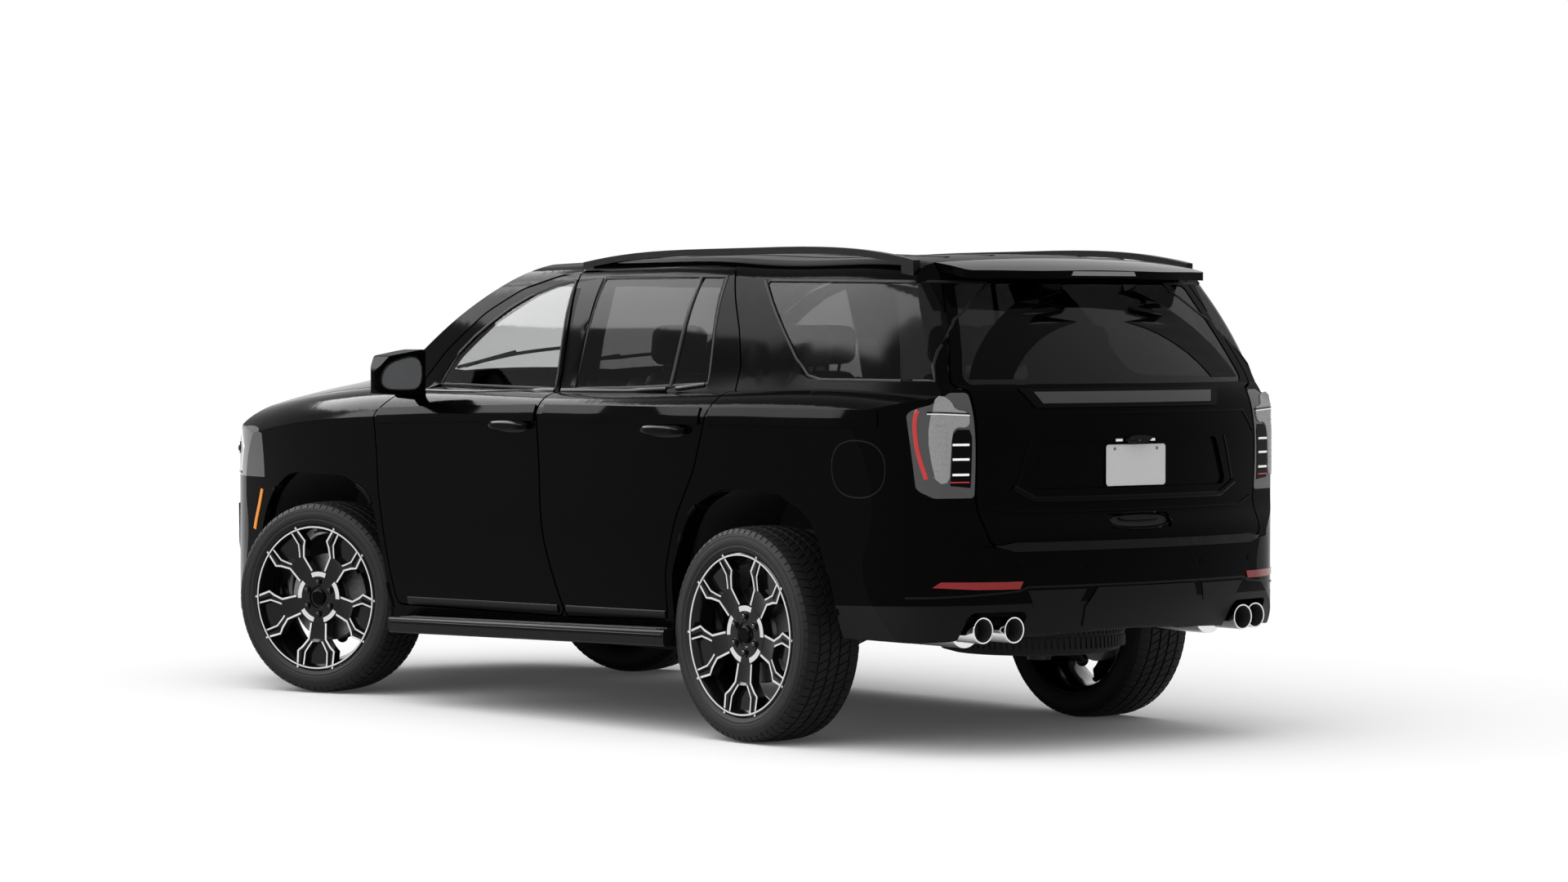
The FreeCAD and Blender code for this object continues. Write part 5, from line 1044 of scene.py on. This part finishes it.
def dress_screen():
    """Wipers and the band of dark print on the windshield."""
    for name, path in WIPERS:
        strip(f"wiper_blade_{name}", screen_skin, path, 0.012, 0.012, rubber, step=0.05, sink=0.0)
        arm = [(path[0][0] + WIPER_FOOT_X, path[0][1] - WIPER_FOOT_Y), path[1]]
        strip(f"wiper_arm_{name}", screen_skin, arm, 0.018, 0.022, satin_black, step=0.05, sink=-0.010,
              crown=0.5)
    strip("screen_band", screen_skin, SCREEN_BAND, 0.050, 0.0012, matte_black, step=0.05)


def add_aerial_pod():
    """Low aerial pod near the front of the roof, drawn out toward the front."""
    foot = roof_skin.land(*POD_PLACE)[0]
    rings = []
    for k in range(POD_STEPS + 1):
        part = k / POD_STEPS
        share = POD_FOOT_SHARE + (1 - POD_FOOT_SHARE) * math.sqrt(1 - part ** 3)
        ring = []
        for u, v in round_points(POD_POINTS, 1, 1):
            x = foot.x + (POD_FRONT if u > 0 else POD_REAR) * share * u - POD_LEAN * part
            y = foot.y + POD_HALF * share * v
            z = foot.z - POD_SINK + POD_TALL * part - POD_NOSE_DROP * max(0.0, POD_FRONT * u) * (1 - part)
            ring.append((x, y, z))
        rings.append(ring)
    Shape().rings(rings).make("aerial_pod", "body", [gloss_black], sharp=60)


add_grille_mesh()
for side, sign in SIDES:
    dress_front(side, sign)
dress_nose()
dress_screen()
add_aerial_pod()
for name, y in FLUTES:
    strip(f"roof_flute_{name}", roof_skin, [(FLUTE_FRONT, y), (FLUTE_REAR, y)], 0.030, 0.003, roof_paint,
          step=0.12, crown=0.3)
# bright collars, and dark bores of the tail pipes whose closed ends are painted shade deep in the pipes
for number, (x, y) in enumerate(PIPES):
    place = Matrix.Translation((x, y, PIPE_Z)) @ TO_REAR
    Shape().lathe(PIPE_BORE, 40).make(f"pipe_bore_{number}", "body", [pipe_dark], place)
    Shape().lathe(PIPE_COLLAR, 48).make(f"pipe_collar_{number}", "body", [chrome], place)

# Cabin
SEAT_Z, STALK_Y, STALK_RADIUS = 0.572, 0.065, 0.007
CUSHION_LEAN, BACK_LEAN, HEADREST_LEAN = -0.10, -math.atan2(0.27, 0.60), -0.14
# seats: name, front edge, middle from the centre plane, half width
SEAT_ROWS = (("front", 0.480, 0.405, 0.245), ("second", -0.330, 0.400, 0.250),
             ("third", -1.290, 0.205, 0.178))
DRIVER_DISPLAY = mm((560, 1165), (560, 1255), (255, 1255), (255, 1165))
CENTRE_DISPLAY = mm((170, 1110), (170, 1262), (-250, 1262), (-250, 1110))
VENT_YS, VENT_HALF, VENT_Z, VENT_PITCH, VENT_BLADES = (0.69, -0.36, -0.69), 0.06, 1.135, 0.018, 4
DASH_SEAM = mm((760, 1075), (-760, 1075))


def pad(half, radius, puff, matrix, cells=9):
    """Stuffed block with round edges."""
    index, points, faces = {}, [], []

    def corner(key):
        if key not in index:
            shares = [2 * v / cells - 1 for v in key]
            flat = Vector([h * share for h, share in zip(half, shares)])
            core = Vector([max(-(h - radius), min(h - radius, v)) for h, v in zip(half, flat)])
            away = flat - core
            place = core + away.normalized() * radius if away.length > 1e-9 else flat
            for a in range(3):
                if key[a] in (0, cells):
                    b, c = [other for other in range(3) if other != a]
                    lift = puff * (1 - shares[b] ** 2) * (1 - shares[c] ** 2)
                    place[a] += lift if key[a] else -lift
            index[key] = len(points)
            points.append(matrix @ place)
        return index[key]

    for a in range(3):
        b, c = [other for other in range(3) if other != a]
        for end in (0, cells):
            for i in range(cells):
                for j in range(cells):
                    ring = []
                    for di, dj in ((0, 0), (1, 0), (1, 1), (0, 1)):
                        key = [end] * 3
                        key[b], key[c] = i + di, j + dj
                        ring.append(corner(tuple(key)))
                    faces.append(ring)
    return Shape().add(points, faces)


def seat_pads(half):
    """Name, half sizes, corner radius, puff, and the place behind, across and up, with the lean."""
    bolster, wing = (0.225, half * 0.15, 0.070), (0.062, half * 0.16, 0.300)
    return (("cushion", (0.235, half * 0.66, 0.060), 0.045, 0.012, 0.235, 0.0, 0.225, CUSHION_LEAN),
            ("bolster_in", bolster, 0.034, 0.006, 0.235, -half * 0.82, 0.232, CUSHION_LEAN),
            ("bolster_out", bolster, 0.034, 0.006, 0.235, half * 0.82, 0.232, CUSHION_LEAN),
            ("back", (0.052, half * 0.62, 0.315), 0.045, 0.012, 0.630, 0.0, 0.545, BACK_LEAN),
            ("wing_in", wing, 0.036, 0.006, 0.626, -half * 0.79, 0.530, BACK_LEAN),
            ("wing_out", wing, 0.036, 0.006, 0.626, half * 0.79, 0.530, BACK_LEAN),
            ("headrest", (0.050, 0.124, 0.078), 0.040, 0.006, 0.762, 0.0, 0.958, HEADREST_LEAN))


def add_seat(name, frames, x, middle, half):
    """Pads of a seat; its frame joins the other seats' frames."""
    def place(behind, across, up, lean):
        return Matrix.Translation((x - behind, middle + across, SEAT_Z + up)) @ Matrix.Rotation(lean, 4, "Y")

    for kind, size, radius, puff, *spot in seat_pads(half):
        shape = pad(size, radius, puff, place(*spot))
        piece = shape.make(f"{kind}_{name}", "body", [leather], sharp=70, slot="leather")
    frames.join(pad((0.205, half * 0.90, 0.070), 0.020, 0.0, place(0.260, 0.0, 0.085, 0.0), 3))
    frames.join(pad((0.022, half * 0.86, 0.330), 0.016, 0.0, place(0.700, 0.0, 0.505, BACK_LEAN), 3))
    for y in (middle - STALK_Y, middle + STALK_Y):
        frames.tube([(x - 0.735, y, SEAT_Z + 0.82), (x - 0.762, y, SEAT_Z + 0.93)], STALK_RADIUS)


def dress_dashboard():
    """Displays, vent blades and seam of the dashboard."""
    skin = Skin("rear", "body", "dashboard")
    patch("driver_display", skin, DRIVER_DISPLAY, 0.004, gloss_black)
    patch("centre_display", skin, CENTRE_DISPLAY, 0.006, gloss_black)
    for number, y in enumerate(VENT_YS):
        for blade in range(VENT_BLADES):
            z = VENT_Z + blade * VENT_PITCH
            strip(f"vent_{number}_{blade}", skin, [(y + VENT_HALF, z), (y - VENT_HALF, z)], 0.006, 0.004,
                  satin_black)
    strip("dash_seam", skin, DASH_SEAM, 0.012, 0.003, dark_chrome, step=0.1)


seat_frames = Shape()
for row, x, y, half in SEAT_ROWS:
    for side, sign in SIDES:
        add_seat(f"{row}_{side}", seat_frames, x, y * sign, half)
seat_frames.make("seat_frames", "body", [cabin_plastic], replace=["seats"], sharp=50)
dress_dashboard()

# Camera, floor and light
CAMERA_PLACE, CAMERA_YAW, CAMERA_PITCH = (-14.751, 11.634, 1.615), -39.169, -1.525
SENSOR_WIDTH, FOCAL_PIXELS, SHIFT_PIXELS, PHOTO_WIDTH = 36.0, 5419.9, 1.8, 1920
FLOOR_HALF, FLOOR_GREY, FLOOR_GLOW = 60, 0.96, 0.04
BRIGHT_WAY, DARKEST_SKY, BRIGHTEST_SKY = (-0.15, 0.45, 0.88), 0.04, 2.3
# softboxes that draw the highlights on the black paint: name, place, aim, size, power
SOFTBOXES = (("softbox_front", (9.0, 1.5, 6.6), (0, 0.4, 1.2), (5.0, 2.6), 650),
             ("softbox_corner", (8.0, 6.5, 6.4), (0, 0.9, 1.1), (6.0, 5.0), 1250),
             ("softbox_left", (1.5, 9.5, 7.0), (-1.0, 0.9, 1.1), (8.0, 6.0), 1900))


def add_object(name, data):
    """New object in the scene."""
    new = bpy.data.objects.new(name, data)
    bpy.context.scene.collection.objects.link(new)
    return new


def seen_directly(tree):
    """Socket that is 1 for rays from the camera, off a gloss or through glass, and 0 for the others."""
    rays = add_node(tree, "LightPath")
    first = add_math(tree, "MAXIMUM", rays.outputs["Is Camera Ray"], rays.outputs["Is Glossy Ray"])
    return add_math(tree, "MAXIMUM", first, rays.outputs["Is Transmission Ray"])


def add_camera():
    """Camera of the photograph."""
    camera = add_object("camera", bpy.data.cameras.new("camera"))
    bpy.context.scene.camera = camera
    camera.location = CAMERA_PLACE
    yaw, pitch = math.radians(CAMERA_YAW), math.radians(CAMERA_PITCH)
    camera.rotation_euler = Euler((math.pi / 2 + pitch, 0, yaw - math.pi / 2), "XYZ")
    camera.data.sensor_width = SENSOR_WIDTH
    camera.data.lens = SENSOR_WIDTH * FOCAL_PIXELS / PHOTO_WIDTH
    camera.data.shift_y = SHIFT_PIXELS / PHOTO_WIDTH
    camera.data.clip_start, camera.data.clip_end = 0.1, 200


def add_floor():
    """White floor; a little of its own light, where it is seen directly, keeps it white in the open."""
    mesh = bpy.data.meshes.new("floor")
    corners = [(x * FLOOR_HALF, y * FLOOR_HALF, 0) for x, y in ((-1, -1), (1, -1), (1, 1), (-1, 1))]
    mesh.from_pydata(corners, [], [(0, 1, 2, 3)])
    floor = add_object("floor", mesh)
    made = bpy.data.materials.new("floor")
    made.use_nodes = True
    tree = made.node_tree
    shader = tree.nodes["Principled BSDF"]
    for name, value in (("Base Color", (FLOOR_GREY, FLOOR_GREY, FLOOR_GREY, 1)), ("Roughness", 1.0),
                        ("Specular IOR Level", 0.0), ("Emission Color", (1, 1, 1, 1))):
        shader.inputs[name].default_value = value
    glow = add_math(tree, "MULTIPLY", seen_directly(tree), FLOOR_GLOW)
    tree.links.new(glow, shader.inputs["Emission Strength"])
    mesh.materials.append(made)


def add_world():
    """Plain white where it is seen directly, and an overcast light, stronger from above, for the rest."""
    world = bpy.data.worlds.new("world")
    bpy.context.scene.world = world
    world.use_nodes = True
    sky = world.node_tree
    background = sky.nodes["Background"]
    background.inputs["Color"].default_value = (1, 1, 1, 1)
    place = add_node(sky, "TexCoord")
    facing = add_node(sky, "VectorMath")
    facing.operation = "DOT_PRODUCT"
    facing.inputs[1].default_value = BRIGHT_WAY
    sky.links.new(place.outputs["Generated"], facing.inputs[0])
    above = add_math(sky, "MAXIMUM", facing.outputs["Value"], 0.0)
    overcast = add_node(sky, "MapRange", To_Min=DARKEST_SKY, To_Max=BRIGHTEST_SKY)
    sky.links.new(add_math(sky, "MULTIPLY", above, above), overcast.inputs["Value"])
    pick = add_node(sky, "Mix", B=1.0)
    sky.links.new(seen_directly(sky), pick.inputs["Factor"])
    sky.links.new(overcast.outputs["Result"], pick.inputs["A"])
    sky.links.new(pick.outputs["Result"], background.inputs["Strength"])


def add_softbox(name, place, aim, size, power):
    """Rectangular lamp that lights glossy finishes only."""
    light = bpy.data.lights.new(name, "AREA")
    light.shape = "RECTANGLE"
    light.size, light.size_y = size
    light.energy = power
    lamp = add_object(name, light)
    lamp.location = place
    lamp.rotation_euler = (Vector(aim) - Vector(place)).to_track_quat("-Z", "Y").to_euler()
    lamp.visible_diffuse = False


add_camera()
add_floor()
add_world()
for softbox in SOFTBOXES:
    add_softbox(*softbox)
bpy.context.scene.view_settings.view_transform = "Standard"
